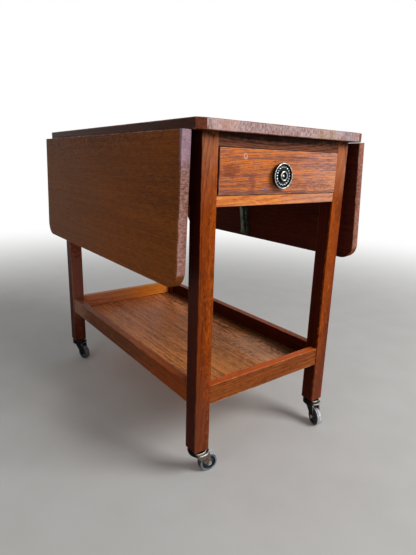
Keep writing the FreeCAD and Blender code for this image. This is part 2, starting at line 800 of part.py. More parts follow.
def knob():
    """The rosette: a foot, a disc with a raised rim, a ring of beads, and a cupped boss."""
    body = knob_profile().revolve(V(0, 0, 0), Z_AXIS, 360)
    level = knob_rim_height - knob_recess_depth + knob_bead_sink
    beads = []
    for i in range(knob_bead_count):
        angle = 2 * math.pi * i / knob_bead_count
        centre = V(math.cos(angle), math.sin(angle), 0) * knob_bead_circle + V(0, 0, level)
        beads.append(Part.makeSphere(knob_bead_radius, centre))
    body = joined([body] + beads)
    body.rotate(V(0, 0, 0), X_AXIS, 90)
    body.translate(knob_place)
    return body


def knob_bolt():
    """The bolt that comes through the drawer front from inside and holds the knob."""
    inside = knob_place + V(0, drawer_front_thickness, 0)
    head_back = inside.y + bolt_head_height
    head = rod(bolt_head_radius, inside, Y_AXIS, bolt_head_height)
    head = head.makeFillet(bolt_head_round,
                           [e for e in head.Edges if e.BoundBox.YMin > head_back - near_enough])
    shank = rod(bolt_radius, inside, -Y_AXIS,
                drawer_front_thickness + knob_tapping_depth - glue_gap)
    return joined([head, shank])


# ---------------------------------------------------------------- castors
def castor_socket():
    """Stem, plate, race and kingpin, on the Z axis."""
    plate = Part.makeCylinder(castor_plate_radius, castor_plate_thickness, V(0, 0, plate_low))
    lower = [e for e in plate.Edges if e.BoundBox.ZMax < plate_low + near_enough]
    plate = plate.makeFillet(castor_plate_round, lower)
    race = Part.makeCylinder(castor_race_radius, castor_race_thickness, V(0, 0, race_low))
    race = race.makeFillet(castor_race_round,
                           [e for e in race.Edges if isinstance(e.Curve, Part.Circle)])
    stem = rod(castor_stem_radius, V(0, 0, foot_height), Z_AXIS, castor_stem_length)
    pin_low = crown_low - fork_gap
    pin = rod(kingpin_radius, V(0, 0, pin_low), Z_AXIS, plate_low - pin_low)
    head = rod(kingpin_head_radius, V(0, 0, pin_low - kingpin_head_height), Z_AXIS,
               kingpin_head_height)
    head = head.makeFillet(kingpin_head_height / 2,
                           [e for e in head.Edges
                            if e.BoundBox.ZMax < pin_low - kingpin_head_height + near_enough])
    return joined([plate, race, stem, pin, head])


def fork():
    """The fork, trailing along +X: a round crown and two tapered cheeks to the axle."""
    crown = Part.makeCylinder(fork_crown_radius, fork_crown_thickness,
                              V(fork_crown_offset, 0, crown_low))
    upper = [e for e in crown.Edges if e.BoundBox.ZMin > crown_top - near_enough]
    crown = crown.makeFillet(fork_crown_thickness / 2, upper)
    parts = [crown]
    half = math.sqrt(fork_crown_radius ** 2 - cheek_outer ** 2)
    start = fork_crown_offset - half
    end = fork_crown_offset + half
    middle_z = crown_top - fork_crown_thickness / 2
    back = math.atan2(wheel_radius - middle_z, castor_trail - end)
    lean = math.atan2(wheel_radius - middle_z, castor_trail - start)
    for y0 in (-cheek_outer, cheek_inner):
        cheek = outline([
            (start, middle_z),
            (end, middle_z),
            (castor_trail - fork_boss_radius * math.sin(back),
             wheel_radius + fork_boss_radius * math.cos(back)),
            (castor_trail, wheel_radius),
            (castor_trail + fork_boss_radius * math.sin(lean),
             wheel_radius - fork_boss_radius * math.cos(lean)),
        ], y0, fork_wall)
        boss = rod(fork_boss_radius, V(castor_trail, y0, wheel_radius), Y_AXIS, fork_wall)
        parts += [cheek, boss]
    body = joined(parts)
    kingpin_bore = rod(kingpin_radius + pin_gap, V(0, 0, crown_low), Z_AXIS,
                       fork_crown_thickness)
    axle_bore = rod(axle_radius + pin_gap, V(castor_trail, -cheek_outer, wheel_radius),
                    Y_AXIS, 2 * cheek_outer)
    return body.cut([kingpin_bore, axle_bore])


def axle():
    """The axle, headed outside both cheeks."""
    low = V(castor_trail, -cheek_outer, wheel_radius)
    high = V(castor_trail, cheek_outer, wheel_radius)
    return joined([
        rod(axle_radius, low, Y_AXIS, 2 * cheek_outer),
        rod(axle_head_radius, low, -Y_AXIS, axle_head_height),
        rod(axle_head_radius, high, Y_AXIS, axle_head_height),
    ])


def wheel():
    """The wheel: a rounded tread, a thinner web and a full-width hub."""
    half = wheel_width / 2
    web = wheel_web_width / 2
    rim = wheel_radius - wheel_rim_depth
    corner = wheel_radius - wheel_edge
    bore = axle_radius + pin_gap
    cut = wheel_edge * (1 - math.sqrt(0.5))
    side = [
        V(bore, half, 0),
        V(wheel_hub_radius, half, 0),
        V(wheel_hub_radius + wheel_web_slope, web, 0),
        V(rim - wheel_web_slope, web, 0),
        V(rim, half, 0),
        V(corner, half, 0),
    ]
    other = [V(point.x, -point.y, 0) for point in side]
    tread = V(wheel_radius, half - wheel_edge, 0)
    tread_end = V(wheel_radius, wheel_edge - half, 0)
    edges = [
        Part.Arc(side[-1], V(wheel_radius - cut, half - cut, 0), tread).toShape(),
        Part.makeLine(tread, tread_end),
        Part.Arc(tread_end, V(wheel_radius - cut, cut - half, 0), other[-1]).toShape(),
        Part.makeLine(other[0], side[0]),
    ]
    for run in (side, other):
        edges += [Part.makeLine(start, end) for start, end in zip(run, run[1:])]
    section = Part.Face(Part.Wire(Part.__sortEdges__(edges)))
    body = section.revolve(V(0, 0, 0), Y_AXIS, 360)
    body.translate(V(castor_trail, 0, wheel_radius))
    return body


def castor_place(corner):
    """The middle of the leg at a corner."""
    x = side_face - leg_side / 2
    y = end_face - leg_side / 2
    return V(x if "right" in corner else -x, y if "rear" in corner else -y, 0)


def at_corner(shape, corner):
    """A piece of a castor, turned to trail its own way under its leg."""
    copy = turned(shape, V(0, 0, 0), Z_AXIS, castor_angles[corner])
    copy.translate(castor_place(corner))
    return copy


# ---------------------------------------------------------------- building and saving
def save(name, pieces):
    """Write one node: one solid, or a group of alike ones."""
    group = Part.makeCompound(pieces) if len(pieces) > 1 else pieces[0]
    group.translate(V(-origin_left, origin_back, 0))
    group.exportStep(os.path.join("parts", name + ".step"))


def save_pair(name, pieces):
    """Write a right-hand node, and its mirror image for the left."""
    save("left_" + name, [mirrored(piece) for piece in pieces])
    save("right_" + name, pieces)


def save_hung(name, pieces):
    """Write a pair of nodes of the leaves, each swung down to where its own leaf hangs."""
    left = [mirrored(hung(piece, hang_angle["left"])) for piece in pieces]
    save("left_" + name, left)
    save("right_" + name, [hung(piece, hang_angle["right"]) for piece in pieces])


def outer_edges(name):
    """Which arrises of a plain rail are eased: the ones on its outer face."""
    x0, x1, y0, y1, z0, z1, across = rails[name]
    if across:
        return lambda middle: abs(abs(middle.y) - max(abs(y0), abs(y1))) < near_enough
    return lambda middle: abs(abs(middle.x) - max(abs(x0), abs(x1))) < near_enough


def main():
    os.makedirs("parts", exist_ok=True)
    save("top_board", [top_board()])
    for y_side, end in ((-1, "front"), (1, "rear")):
        for x_side, side in ((-1, "left"), (1, "right")):
            save("leg_%s_%s" % (end, side), [leg(x_side, y_side)])
    for name in ("left_apron", "right_apron", "rear_apron",
                 "drawer_top_rail", "drawer_bottom_rail"):
        piece = rail(name, outer_edges(name))
        if name == "right_apron":
            piece = piece.cut([screw_hole(head, -X_AXIS) for head in bracket_heads()])
        if name == "left_apron":
            piece = piece.cut([mirrored(screw_hole(head, -X_AXIS)) for head in bracket_heads()])
        save(name, [piece])
    for name in ("shelf_left_rail", "shelf_right_rail", "shelf_front_rail", "shelf_rear_rail"):
        save(name, [shelf_rail(name)])
    save("shelf_panel", [shelf_panel()])
    save_pair("drawer_runner", [drawer_runner()])
    save_pair("drawer_kicker", [drawer_kicker()])
    save("drawer_stops", drawer_stops())
    top_screws = [screw(head, Z_AXIS, top_screw_length) for head in top_screw_heads()]
    save("top_screws", top_screws + [mirrored(piece) for piece in top_screws])

    save("drawer_front", [drawer_front()])
    save_pair("drawer_side", [drawer_side()])
    save("drawer_back", [drawer_back()])
    save("drawer_bottom", [drawer_bottom()])
    save("drawer_knob", [knob()])
    save("knob_bolt", [knob_bolt()])

    save_hung("leaf", [raised_leaf()])
    save_pair("hinge_top_flaps", top_flaps())
    save_hung("hinge_leaf_flaps", leaf_flaps())
    save_pair("hinge_pins", hinge_pins())
    frame_screws = [screw(head, Z_AXIS) for head in top_flap_heads()]
    frame_screws += [screw(head, -X_AXIS) for head in bracket_heads()]
    save("metalwork_screws", frame_screws + [mirrored(piece) for piece in frame_screws])
    save_hung("leaf_screws", [screw(head, Z_AXIS) for head in leaf_flap_heads() + track_heads()])

    save_pair("stay_bracket", [stay_bracket()])
    save_pair("stay_rivet", [stay_rivet()])
    save("left_stay_arm", [mirrored(stay_arm(hang_angle["left"]))])
    save("right_stay_arm", [stay_arm(hang_angle["right"])])
    save_hung("stay_track", [stay_track()])

    save("castor_sockets", [at_corner(castor_socket(), corner) for corner in castor_angles])
    for corner in castor_angles:
        save("castor_fork_" + corner, [at_corner(fork(), corner)])
        save("castor_axle_" + corner, [at_corner(axle(), corner)])
        save("castor_wheel_" + corner, [at_corner(wheel(), corner)])


main()
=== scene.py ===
# %% [markdown]
# A drop leaf tea trolley: a narrow oak table on castors. A hinged leaf hangs on each long
# side, a drawer sits under the top, and a tray-like shelf ties the legs together low down.
# The wooden and metal pieces come in as a fixed frame of solids at their real size. They
# could be modelled once more here, but then two sets of shapes would have to agree, so this
# lesson takes them as they are and gives them the looks of stained oak, old brass and dusty
# iron.

# %% Load the frame of solids
import json
import math
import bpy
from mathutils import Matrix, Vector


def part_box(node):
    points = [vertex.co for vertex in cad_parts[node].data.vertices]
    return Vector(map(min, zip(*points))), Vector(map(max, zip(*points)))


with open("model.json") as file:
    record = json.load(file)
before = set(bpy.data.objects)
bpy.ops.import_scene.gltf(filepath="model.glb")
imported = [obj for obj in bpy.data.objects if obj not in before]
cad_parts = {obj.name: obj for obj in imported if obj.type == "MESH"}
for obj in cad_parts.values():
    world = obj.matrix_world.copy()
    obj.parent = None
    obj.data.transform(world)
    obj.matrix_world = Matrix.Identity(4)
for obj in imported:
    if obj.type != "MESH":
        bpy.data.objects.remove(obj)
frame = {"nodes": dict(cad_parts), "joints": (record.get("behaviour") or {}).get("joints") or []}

from types import SimpleNamespace

import bmesh
import bpy
from mathutils import Matrix, Vector

solids = frame["nodes"]
joints = {joint["name"]: joint for joint in frame["joints"]}
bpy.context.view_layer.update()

# %% [markdown]
# The camera comes first, because every later choice is judged through it. A camera could be
# aimed by hand with a tracking constraint. Here it stands at a measured spot, and its own
# three directions are worked out from a compass angle, a height angle and a slight roll,
# which keeps the numbers readable and the picture repeatable.

# %% Camera
camera_spot = Vector((-0.6397, -0.9513, 0.6387))
compass = math.radians(-36.96)      # it looks along +Y when this is zero
height_angle = math.radians(15.13)  # it looks down by this much
roll = math.radians(1.69)
sensor = 36.0                       # mm, along the picture's long side
focal_share = 427.6 / 555           # focal length over the picture's long side
nearest = 0.01                      # m, what is closer isn't seen

back = Vector((math.sin(compass) * math.cos(height_angle),
               -math.cos(compass) * math.cos(height_angle),
               math.sin(height_angle)))
level = Vector((math.cos(compass), math.sin(compass), 0))
upright = back.cross(level)
right = math.cos(roll) * level + math.sin(roll) * upright
up = math.cos(roll) * upright - math.sin(roll) * level

camera_data = bpy.data.cameras.new("camera")
camera_data.sensor_width = sensor
camera_data.lens = sensor * focal_share
camera_data.clip_start = nearest
camera = bpy.data.objects.new("camera", camera_data)
bpy.context.scene.collection.objects.link(camera)
camera.matrix_world = Matrix((
    (right.x, up.x, back.x, camera_spot.x),
    (right.y, up.y, back.y, camera_spot.y),
    (right.z, up.z, back.z, camera_spot.z),
    (0, 0, 0, 1)))
bpy.context.scene.camera = camera
bpy.context.scene.view_settings.view_transform = "Standard"
print("camera:", camera_spot[:], "lens:", round(camera_data.lens, 2), "mm")

# %% [markdown]
# Every finish below is a small network of shader nodes. Nodes could be placed one call at a
# time, but that is long and hard to read, so helpers come first. One starts a material. One
# adds a node, sets its options and fills its inputs, either with a number or with another
# node's output. Three more are the steps that nearly every finish takes: arithmetic on
# numbers, arithmetic on places, and the parts of a place.


# %% Helpers for node networks
def start_finish(name):
    """A new material: itself, its node tree and its surface shader."""
    finish = bpy.data.materials.new(name)
    finish.use_nodes = True
    return finish, finish.node_tree, finish.node_tree.nodes["Principled BSDF"]


def add_node(tree, kind, inputs, **options):
    """Add a node; inputs maps a socket's name or place to a number or another socket."""
    node = tree.nodes.new(kind)
    for option, value in options.items():
        setattr(node, option, value)
    for socket, value in inputs.items():
        if isinstance(value, bpy.types.NodeSocket):
            tree.links.new(value, node.inputs[socket])
        else:
            node.inputs[socket].default_value = value
    return node


def math_step(tree, operation, *values):
    """One step of arithmetic on numbers."""
    inputs = dict(enumerate(values))
    return add_node(tree, "ShaderNodeMath", inputs, operation=operation).outputs[0]


def vector_step(tree, operation, *values):
    """One step of arithmetic on places; a length or a dot product comes out as a number."""
    inputs = dict(enumerate(values))
    node = add_node(tree, "ShaderNodeVectorMath", inputs, operation=operation)
    return node.outputs["Value" if operation in ("LENGTH", "DOT_PRODUCT") else "Vector"]


def parts_of(tree, place):
    """The X, Y and Z of a place, to be had by letter or by number."""
    return add_node(tree, "ShaderNodeSeparateXYZ", {0: place}).outputs


print("helpers ready:", [f.__name__ for f in (add_node, math_step, vector_step, parts_of)])

# %% [markdown]
# Colours come from paint charts, where each part runs from 0 to 255 the way a screen shows
# it. The renderer reckons in light, so a chart colour is turned into the light that it
# reflects. Typing the light's own numbers would save a step, but nobody can picture them.
# Two colours are blended by a share between 0 and 1, and a share is mostly some measure
# stretched from one range to another.

# %% Colours and shares
MIX_TONES, MIX_RESULT = (6, 7), 2       # the sockets of a mix node that are for colours


def colour(red, green, blue):
    """A colour as a paint chart gives it, 0 to 255, turned into the light that it reflects."""
    def light(value):
        """The standard curve of screens, straight near black and bent above."""
        share = value / 255
        return share / 12.92 if share <= 0.04045 else ((share + 0.055) / 1.055) ** 2.4
    return light(red), light(green), light(blue)


def blend_colour(tree, share, first, second, how="MIX"):
    """Two colours blended by a share."""
    mix = add_node(tree, "ShaderNodeMix", {"Factor": share}, data_type="RGBA", blend_type=how)
    for place, tone in zip(MIX_TONES, (first, second)):
        if isinstance(tone, bpy.types.NodeSocket):
            tree.links.new(tone, mix.inputs[place])
        else:
            mix.inputs[place].default_value = (*tone, 1)
    return mix.outputs[MIX_RESULT]


def map_range(tree, value, low, high, to_low=0.0, to_high=1.0):
    """A value stretched from one range to another, smoothly and without overshoot."""
    inputs = {"Value": value, "From Min": low, "From Max": high,
              "To Min": to_low, "To Max": to_high}
    return add_node(tree, "ShaderNodeMapRange", inputs,
                    interpolation_type="SMOOTHSTEP").outputs["Result"]


print("mid grey on the chart reflects", round(colour(128, 128, 128)[0], 3), "of the light")

# %% [markdown]
# Wood, tarnish and dust are all uneven, and noise is what makes them so. An image could be
# wrapped round a piece instead, but it would stretch at the edges and stay behind inside.
# Noise is solid: it is worked out from a point's place, in metres, on the piece that the
# point belongs to, so it also stays put when a leaf swings or a drawer slides.


# %% Places and noise
def place_on_piece(tree):
    """The place of a point on its own piece, in metres, wherever the piece has moved."""
    return add_node(tree, "ShaderNodeTexCoord", {}).outputs["Object"]


def noise(tree, place, marks, detail):
    """Noise with so many marks to the metre, 0 to 1."""
    inputs = {"Vector": place, "Scale": marks, "Detail": detail}
    return add_node(tree, "ShaderNodeTexNoise", inputs).outputs["Fac"]


def noise_along(tree, value, marks, detail):
    """Noise that changes with one number only, 0 to 1."""
    inputs = {"W": value, "Scale": marks, "Detail": detail}
    return add_node(tree, "ShaderNodeTexNoise", inputs, noise_dimensions="1D").outputs["Fac"]


print("patterns ready:", [f.__name__ for f in (noise, noise_along)])

# %% [markdown]
# The studio is a pale floor and a white surround. A curved paper backdrop would do, but then
# the trolley couldn't be seen from behind. So the floor is a large disc that turns white far
# from the trolley. It glows only for the rays that show the surround itself, those from the
# camera, a mirror or glass, or it would light the trolley from below.

# %% Floor
floor_radius = 6.0
floor_sides = 96
whitens_from = 0.9      # m from the middle
white_from = 3.2

floor_mesh = bpy.data.meshes.new("floor")
disc = bmesh.new()
bmesh.ops.create_circle(disc, cap_ends=True, radius=floor_radius, segments=floor_sides)
disc.to_mesh(floor_mesh)
disc.free()
floor = bpy.data.objects.new("floor", floor_mesh)
bpy.context.scene.collection.objects.link(floor)


def straight_looks(tree):
    """1 for the rays that show the surround itself: from the camera, a mirror or glass."""
    path = add_node(tree, "ShaderNodeLightPath", {}).outputs
    seen = math_step(tree, "MAXIMUM", path["Is Camera Ray"], path["Is Glossy Ray"])
    return math_step(tree, "MAXIMUM", seen, path["Is Transmission Ray"])


paint, tree, shader = start_finish("floor_paint")
spot = place_on_piece(tree)
mottle = map_range(tree, noise(tree, spot, marks=9.0, detail=5.0), 0.3, 0.7)
tree.links.new(blend_colour(tree, mottle, colour(204, 203, 200), colour(208, 207, 205)),
               shader.inputs["Base Color"])
shader.inputs["Roughness"].default_value = 0.75
shader.inputs["Specular IOR Level"].default_value = 0.2
far = map_range(tree, vector_step(tree, "LENGTH", spot), whitens_from, white_from)
glow = add_node(tree, "ShaderNodeEmission", {"Color": (1, 1, 1, 1), "Strength": 1.0})
share = math_step(tree, "MULTIPLY", far, straight_looks(tree))
surface = add_node(tree, "ShaderNodeMixShader",
                   {0: share, 1: shader.outputs[0], 2: glow.outputs[0]})
tree.links.new(surface.outputs[0], tree.nodes["Material Output"].inputs["Surface"])
floor_mesh.materials.append(paint)
print("floor radius:", floor_radius, "m, white from", white_from, "m")

# %% [markdown]
# The world around the trolley is white where a ray looks straight at it. All other rays meet
# a much dimmer world, which lights the trolley evenly without washing its colours out. One
# even brightness would be simpler, but then either the surround is grey or the oak is pale.

# %% White surround
ambient = 0.30
world = bpy.data.worlds.new("surround")
bpy.context.scene.world = world
world.use_nodes = True
sky = world.node_tree
strength = map_range(sky, straight_looks(sky), 0.0, 1.0, ambient, 1.0)
sky.links.new(strength, sky.nodes["Background"].inputs["Strength"])
sky.nodes["Background"].inputs["Color"].default_value = (1, 1, 1, 1)
print("ambient light:", ambient)

# %% [markdown]
# Two soft boxes light the trolley. Sun lamps would give hard shadows, and bare points would
# show as sparks in the varnish. The large box stands in front, to the right and well above,
# so that the drawer front is bright and the overhanging top throws a soft shadow on it. A
# weak one on the left keeps the hanging leaf from going black.


# %% Soft boxes
def soft_box(name, spot, aim, width, height, power):
    """A rectangular lamp at a spot, turned towards another."""
    lamp = bpy.data.lights.new(name, "AREA")
    lamp.shape = "RECTANGLE"
    lamp.size = width
    lamp.size_y = height
    lamp.energy = power
    box = bpy.data.objects.new(name, lamp)
    bpy.context.scene.collection.objects.link(box)
    box.location = spot
    box.rotation_mode = "QUATERNION"
    box.rotation_quaternion = (Vector(aim) - Vector(spot)).to_track_quat("-Z", "Y")


middle = (0.0, 0.0, 0.4)
soft_box("key_box", (1.35, -2.35, 2.1), middle, width=1.5, height=1.2, power=66)
soft_box("left_box", (-2.6, -0.9, 1.3), middle, width=1.4, height=1.4, power=7)

# %% [markdown]
# Oak is the whole trolley, so its figure deserves a model of how wood grows and not just a
# stripe pattern. A board is a slice through a cone of yearly rings. Each ring starts with a
# band of wide pores, which takes up stain and turns dark, and ends in dense pale wood. A
# picture of real veneer would be quicker, but it can't wrap round the edges and ends as
# solid wood does.
#
# One node group does this for every board. It takes a place in the board measured across,
# along and through it, and where the tree's heart lay. It gives back how pale the wood is
# there, how much open pore there is, the fine fibre and the late wood of the year.

# %% The sockets of the oak figure
FIGURE_NEEDS = ("Heart across", "Heart through", "Taper", "Tone", "Contrast")
FIGURE_GIVES = ("Paleness", "Pores", "Fibre", "Late wood")

figure = bpy.data.node_groups.new("oak_figure", "ShaderNodeTree")
figure.interface.new_socket("Place", in_out="INPUT", socket_type="NodeSocketVector")
for socket in FIGURE_NEEDS:
    figure.interface.new_socket(socket, in_out="INPUT", socket_type="NodeSocketFloat")
for socket in FIGURE_GIVES:
    figure.interface.new_socket(socket, in_out="OUTPUT", socket_type="NodeSocketFloat")
inlet = figure.nodes.new("NodeGroupInput")
outlet = figure.nodes.new("NodeGroupOutput")
print("the oak figure gives:", ", ".join(FIGURE_GIVES))

# %% [markdown]
# The distance of a point from the tree's heart, less a little for the taper along the trunk,
# says which ring it lies in. Cut far from the heart the rings show as straight lines, and
# cut near it they show as the pointed arches that joiners call cathedrals. A wave texture
# draws rings too, but all alike. Here the grain strays from straight, each ring wavers a
# little by itself, and good years give wider rings than poor ones.

# %% Rings of growth
ring_width = 0.0026         # m, a year's growth
stray_width = 0.032         # m, how far the grain strays from side to side
waver_width = 0.0022        # m, how far one ring wavers
years_together = 0.31       # good and poor years change about every third year
years_shift = 2.2           # by how many rings a run of good years pushes the next ones out


def centred(tree, share):
    """A share between 0 and 1 moved to lie evenly about zero."""
    return math_step(tree, "SUBTRACT", share, 0.5)


def stretched_noise(tree, place, across, along, detail=2.0, shift=0.0):
    """Noise with so many marks to the metre across the grain and along it, 0 to 1."""
    scaled = vector_step(tree, "MULTIPLY", place, (across, along, across))
    moved = vector_step(tree, "ADD", scaled, (shift, shift, shift))
    inputs = {"Vector": moved, "Scale": 1.0, "Detail": detail}
    return add_node(tree, "ShaderNodeTexNoise", inputs).outputs


place = inlet.outputs["Place"]
in_board = parts_of(figure, place)
stray_colour = stretched_noise(figure, place, across=7.0, along=1.9, detail=1.0)["Color"]
stray = add_node(figure, "ShaderNodeSeparateColor", {0: stray_colour}).outputs
waver = stretched_noise(figure, place, across=70.0, along=14.0, shift=4.0)["Fac"]

squares = []
for side, heart, wandering in (("X", "Heart across", stray[0]), ("Z", "Heart through", stray[1])):
    straight = math_step(figure, "SUBTRACT", in_board[side], inlet.outputs[heart])
    strayed = math_step(figure, "MULTIPLY_ADD", centred(figure, wandering), stray_width, straight)
    squares.append(math_step(figure, "MULTIPLY", strayed, strayed))
radius = math_step(figure, "SQRT", math_step(figure, "ADD", *squares))
tapered = math_step(figure, "MULTIPLY_ADD", in_board["Y"], inlet.outputs["Taper"], radius)
wavering = math_step(figure, "MULTIPLY_ADD", centred(figure, waver), waver_width, tapered)
rings = math_step(figure, "DIVIDE", wavering, ring_width)
good_years = noise_along(figure, rings, years_together, detail=1.0)
uneven = math_step(figure, "MULTIPLY_ADD", good_years, years_shift, rings)
year = math_step(figure, "FRACT", uneven)
print("rings to the centimetre:", round(0.01 / ring_width, 1))

# %% [markdown]
# Within a year the wood goes from dark early wood to pale late wood and breaks off sharply.
# A ramp of greys says how pale each part of the year is. A sine would be smooth on both
# sides, which no ring is. The open pores are pinholes, drawn out along the grain, and they
# are crowded where the wood is early.

# %% Seasons and pores
paleness_by_season = ((0.0, 0.0), (0.16, 0.30), (0.42, 0.78), (0.80, 1.0), (0.94, 0.8), (1.0, 0.25))
pinhole_rim = (0.56, 0.66)  # the noise's levels between which a pinhole opens
crowded_from = 0.8          # how early the wood is where every pinhole is there
fewest_pores = 0.30         # the share of them that is left in the latest wood


def grey_ramp(tree, value, steps, between="LINEAR"):
    """A value turned into a level by steps: pairs of where each starts and its level."""
    node = add_node(tree, "ShaderNodeValToRGB", {0: value})
    ramp = node.color_ramp
    ramp.interpolation = between
    ramp.elements.remove(ramp.elements[1])
    ramp.elements[0].position = steps[0][0]
    ramp.elements[0].color = (*[steps[0][1]] * 3, 1)
    for start, level in steps[1:]:
        ramp.elements.new(start).color = (level, level, level, 1)
    return node.outputs["Color"]


late = grey_ramp(figure, year, paleness_by_season)
early = math_step(figure, "SUBTRACT", 1.0, late)
room = map_range(figure, early, 0.0, crowded_from, fewest_pores, 1.0)
pinholes = stretched_noise(figure, place, across=1500.0, along=85.0, detail=1.0, shift=31.0)["Fac"]
pores = math_step(figure, "MULTIPLY", map_range(figure, pinholes, *pinhole_rim), room)
print("nodes in the oak figure so far:", len(figure.nodes))

# %% [markdown]
# Rings alone look drawn. Real oak is also streaked by its fibres, flaked where rays cross
# them, and clouded where a board took the stain unevenly. Each of these is a noise of its
# own length and width, added to the tone by its own strength. One noise with more detail
# would be less work, but its small marks would have the same shape as its large ones.

# %% Fibres, streaks, flakes and clouds
mean_paleness = 0.62        # of a ring
ring_strength = 0.34

fibre = stretched_noise(figure, place, across=640.0, along=9.0, detail=3.0, shift=9.0)["Fac"]
streak = stretched_noise(figure, place, across=150.0, along=3.2, shift=17.0)["Fac"]
flake = stretched_noise(figure, place, across=260.0, along=55.0, shift=41.0)["Fac"]
cloud = stretched_noise(figure, place, across=9.0, along=3.0, shift=23.0)["Fac"]
lines = math_step(figure, "SUBTRACT", late, mean_paleness)
tone = math_step(figure, "MULTIPLY_ADD", lines, ring_strength, 0.5)
for pattern, pattern_strength in ((fibre, 0.75), (streak, 0.75), (flake, 0.70), (cloud, 0.55)):
    tone = math_step(figure, "MULTIPLY_ADD", centred(figure, pattern), pattern_strength, tone)
middle_tone = math_step(figure, "ADD", inlet.outputs["Tone"], 0.5)
paleness = math_step(figure, "MULTIPLY_ADD", centred(figure, tone), inlet.outputs["Contrast"],
                     middle_tone)
for socket, value in zip(FIGURE_GIVES, (paleness, pores, fibre, late)):
    figure.links.new(value, outlet.inputs[socket])
print("nodes in the oak figure:", len(figure.nodes))

# %% [markdown]
# A board's place in the tree is its own, so each piece of wood gets its own material around
# the shared figure. To lay the figure right, a finish has to know which way the grain runs,
# which way the widest face looks, and where the corners of the board are. Empties at the
# corners could say so, but the solid's own points already do.

# %% Measures of a board
AXES = "XYZ"


def spread(node, turn=None):
    """Lowest and highest corner of a solid, after an optional turn of its place."""
    points = [v.co if turn is None else turn @ v.co for v in solids[node].data.vertices]
    low = Vector([min(p[i] for p in points) for i in range(3)])
    high = Vector([max(p[i] for p in points) for i in range(3)])
    return low, high


def board_of(tree, node, grain, face, turn):
    """What a finish knows of its board: its axes, its corners and the place of a point."""
    place = place_on_piece(tree)
    if turn is not None:
        inputs = {"Vector": place, "Location": turn.to_translation(), "Rotation": turn.to_euler()}
        place = add_node(tree, "ShaderNodeMapping", inputs).outputs["Vector"]
    low, high = spread(node, turn)
    across = next(axis for axis in AXES if axis not in grain + face)
    return SimpleNamespace(node=node, tree=tree, place=place, parts=parts_of(tree, place),
                           low=low, high=high, grain=grain, across=across, face=face)


def extent(board, axis):
    """The size of a board along an axis, in metres."""
    return (board.high - board.low)[AXES.index(axis)]


top_low, top_high = spread("top_board")
print("the top measures", [round(v, 3) for v in top_high - top_low])

# %% [markdown]
# Wide boards are glued up from narrow staves, and the joints show because each stave comes
# from another part of a tree. Every stave could be a solid of its own, but on the real
# trolley they are one board. So the finish counts the staves across, and white noise draws
# a heart, a length and a tone for each.

# %% Where a board grew
HEARTS_APART = 0.9      # how far apart the staves' hearts lie, over the width of the board
HEART_DEPTHS = 0.08     # m, by how much their depths differ
LENGTHS_APART = 9.0     # m, how far apart along the tree they grew
PIECE_LENGTH = 1.7      # m along the tree, from one piece's seed to the next
SEEDS = 97


def draw_staves(board, staves, seed):
    """Four draws between 0 and 1 that each stave has for itself; notes the place in staves."""
    tree = board.tree
    start = board.low[AXES.index(board.across)]
    across = math_step(tree, "SUBTRACT", board.parts[board.across], start)
    board.in_staves = math_step(tree, "DIVIDE", across, extent(board, board.across) / staves)
    stave = math_step(tree, "ADD", math_step(tree, "FLOOR", board.in_staves), seed)
    draw = add_node(tree, "ShaderNodeTexWhiteNoise", {"W": stave}, noise_dimensions="1D").outputs
    draws = add_node(tree, "ShaderNodeSeparateColor", {0: draw["Color"]}).outputs
    return draws[0], draws[1], draws[2], draw["Value"]


def figure_of(board, heart, taper, tone, contrast, staves, stave_change):
    """The oak figure's outputs for a board; notes where in the tree each point of it lies."""
    tree, parts = board.tree, board.parts
    centre = (board.low + board.high) / 2
    # the letters of its name give each piece a number of its own
    seed = sum(ord(letter) * (i + 3) for i, letter in enumerate(board.node)) % SEEDS
    side = math_step(tree, "SUBTRACT", parts[board.across], centre[AXES.index(board.across)])
    through = math_step(tree, "SUBTRACT", parts[board.face], centre[AXES.index(board.face)])
    along = math_step(tree, "ADD", parts[board.grain], seed * PIECE_LENGTH)
    heart_across, heart_through = heart
    if staves > 1:
        sideways, deep, lengthways, shade = draw_staves(board, staves, seed)
        heart_across = math_step(tree, "MULTIPLY_ADD", centred(tree, sideways),
                                 extent(board, board.across) * HEARTS_APART, heart_across)
        heart_through = math_step(tree, "MULTIPLY_ADD", deep, HEART_DEPTHS, heart_through)
        along = math_step(tree, "MULTIPLY_ADD", lengthways, LENGTHS_APART, along)
        tone = math_step(tree, "MULTIPLY_ADD", centred(tree, shade), stave_change, tone)
    inputs = {0: side, 1: along, 2: through}
    board.in_tree = add_node(tree, "ShaderNodeCombineXYZ", inputs).outputs[0]
    needs = dict(zip(FIGURE_NEEDS, (heart_across, heart_through, taper, tone, contrast)))
    return add_node(tree, "ShaderNodeGroup", {"Place": board.in_tree, **needs},
                    node_tree=figure).outputs


print("a piece may start anywhere in", round(SEEDS * PIECE_LENGTH), "m of oak")

# %% [markdown]
# The stain isn't even. It takes another tone at the far end of a board, which on the top
# and the leaves is a painted sheen that greys them towards the rear. Some sides are painted
# lighter or darker by the way they face, as painted light and painted shade. A mask could be
# painted for each piece by hand. Here each change is one small function that blends a pale
# and a dark stain into another pair, and its share comes from a place along the board or
# from the way a face looks.

# %% Stain that changes along a board and from side to side
DRIFT_RAG = 0.3         # how ragged the change is, over the length of the board


def stain_pair(tree, share, usual, other):
    """A pale and a dark stain, each blended by a share into the one of another pair."""
    return [blend_colour(tree, share, before, colour(*after))
            for before, after in zip(usual, other)]


def drifted(board, stains, start, end, far_pale, far_dark):
    """Stains that turn into another pair between two shares of the board's length."""
    tree = board.tree
    axis = AXES.index(board.grain)
    length = extent(board, board.grain)
    rag = DRIFT_RAG * length
    patches = noise(tree, board.place, marks=16.0, detail=3.0)
    straight = math_step(tree, "SUBTRACT", board.parts[axis], board.low[axis] + rag / 2)
    ragged = math_step(tree, "MULTIPLY_ADD", patches, rag, straight)
    share = map_range(tree, ragged, start * length, end * length)
    return stain_pair(tree, share, stains, (far_pale, far_dark))


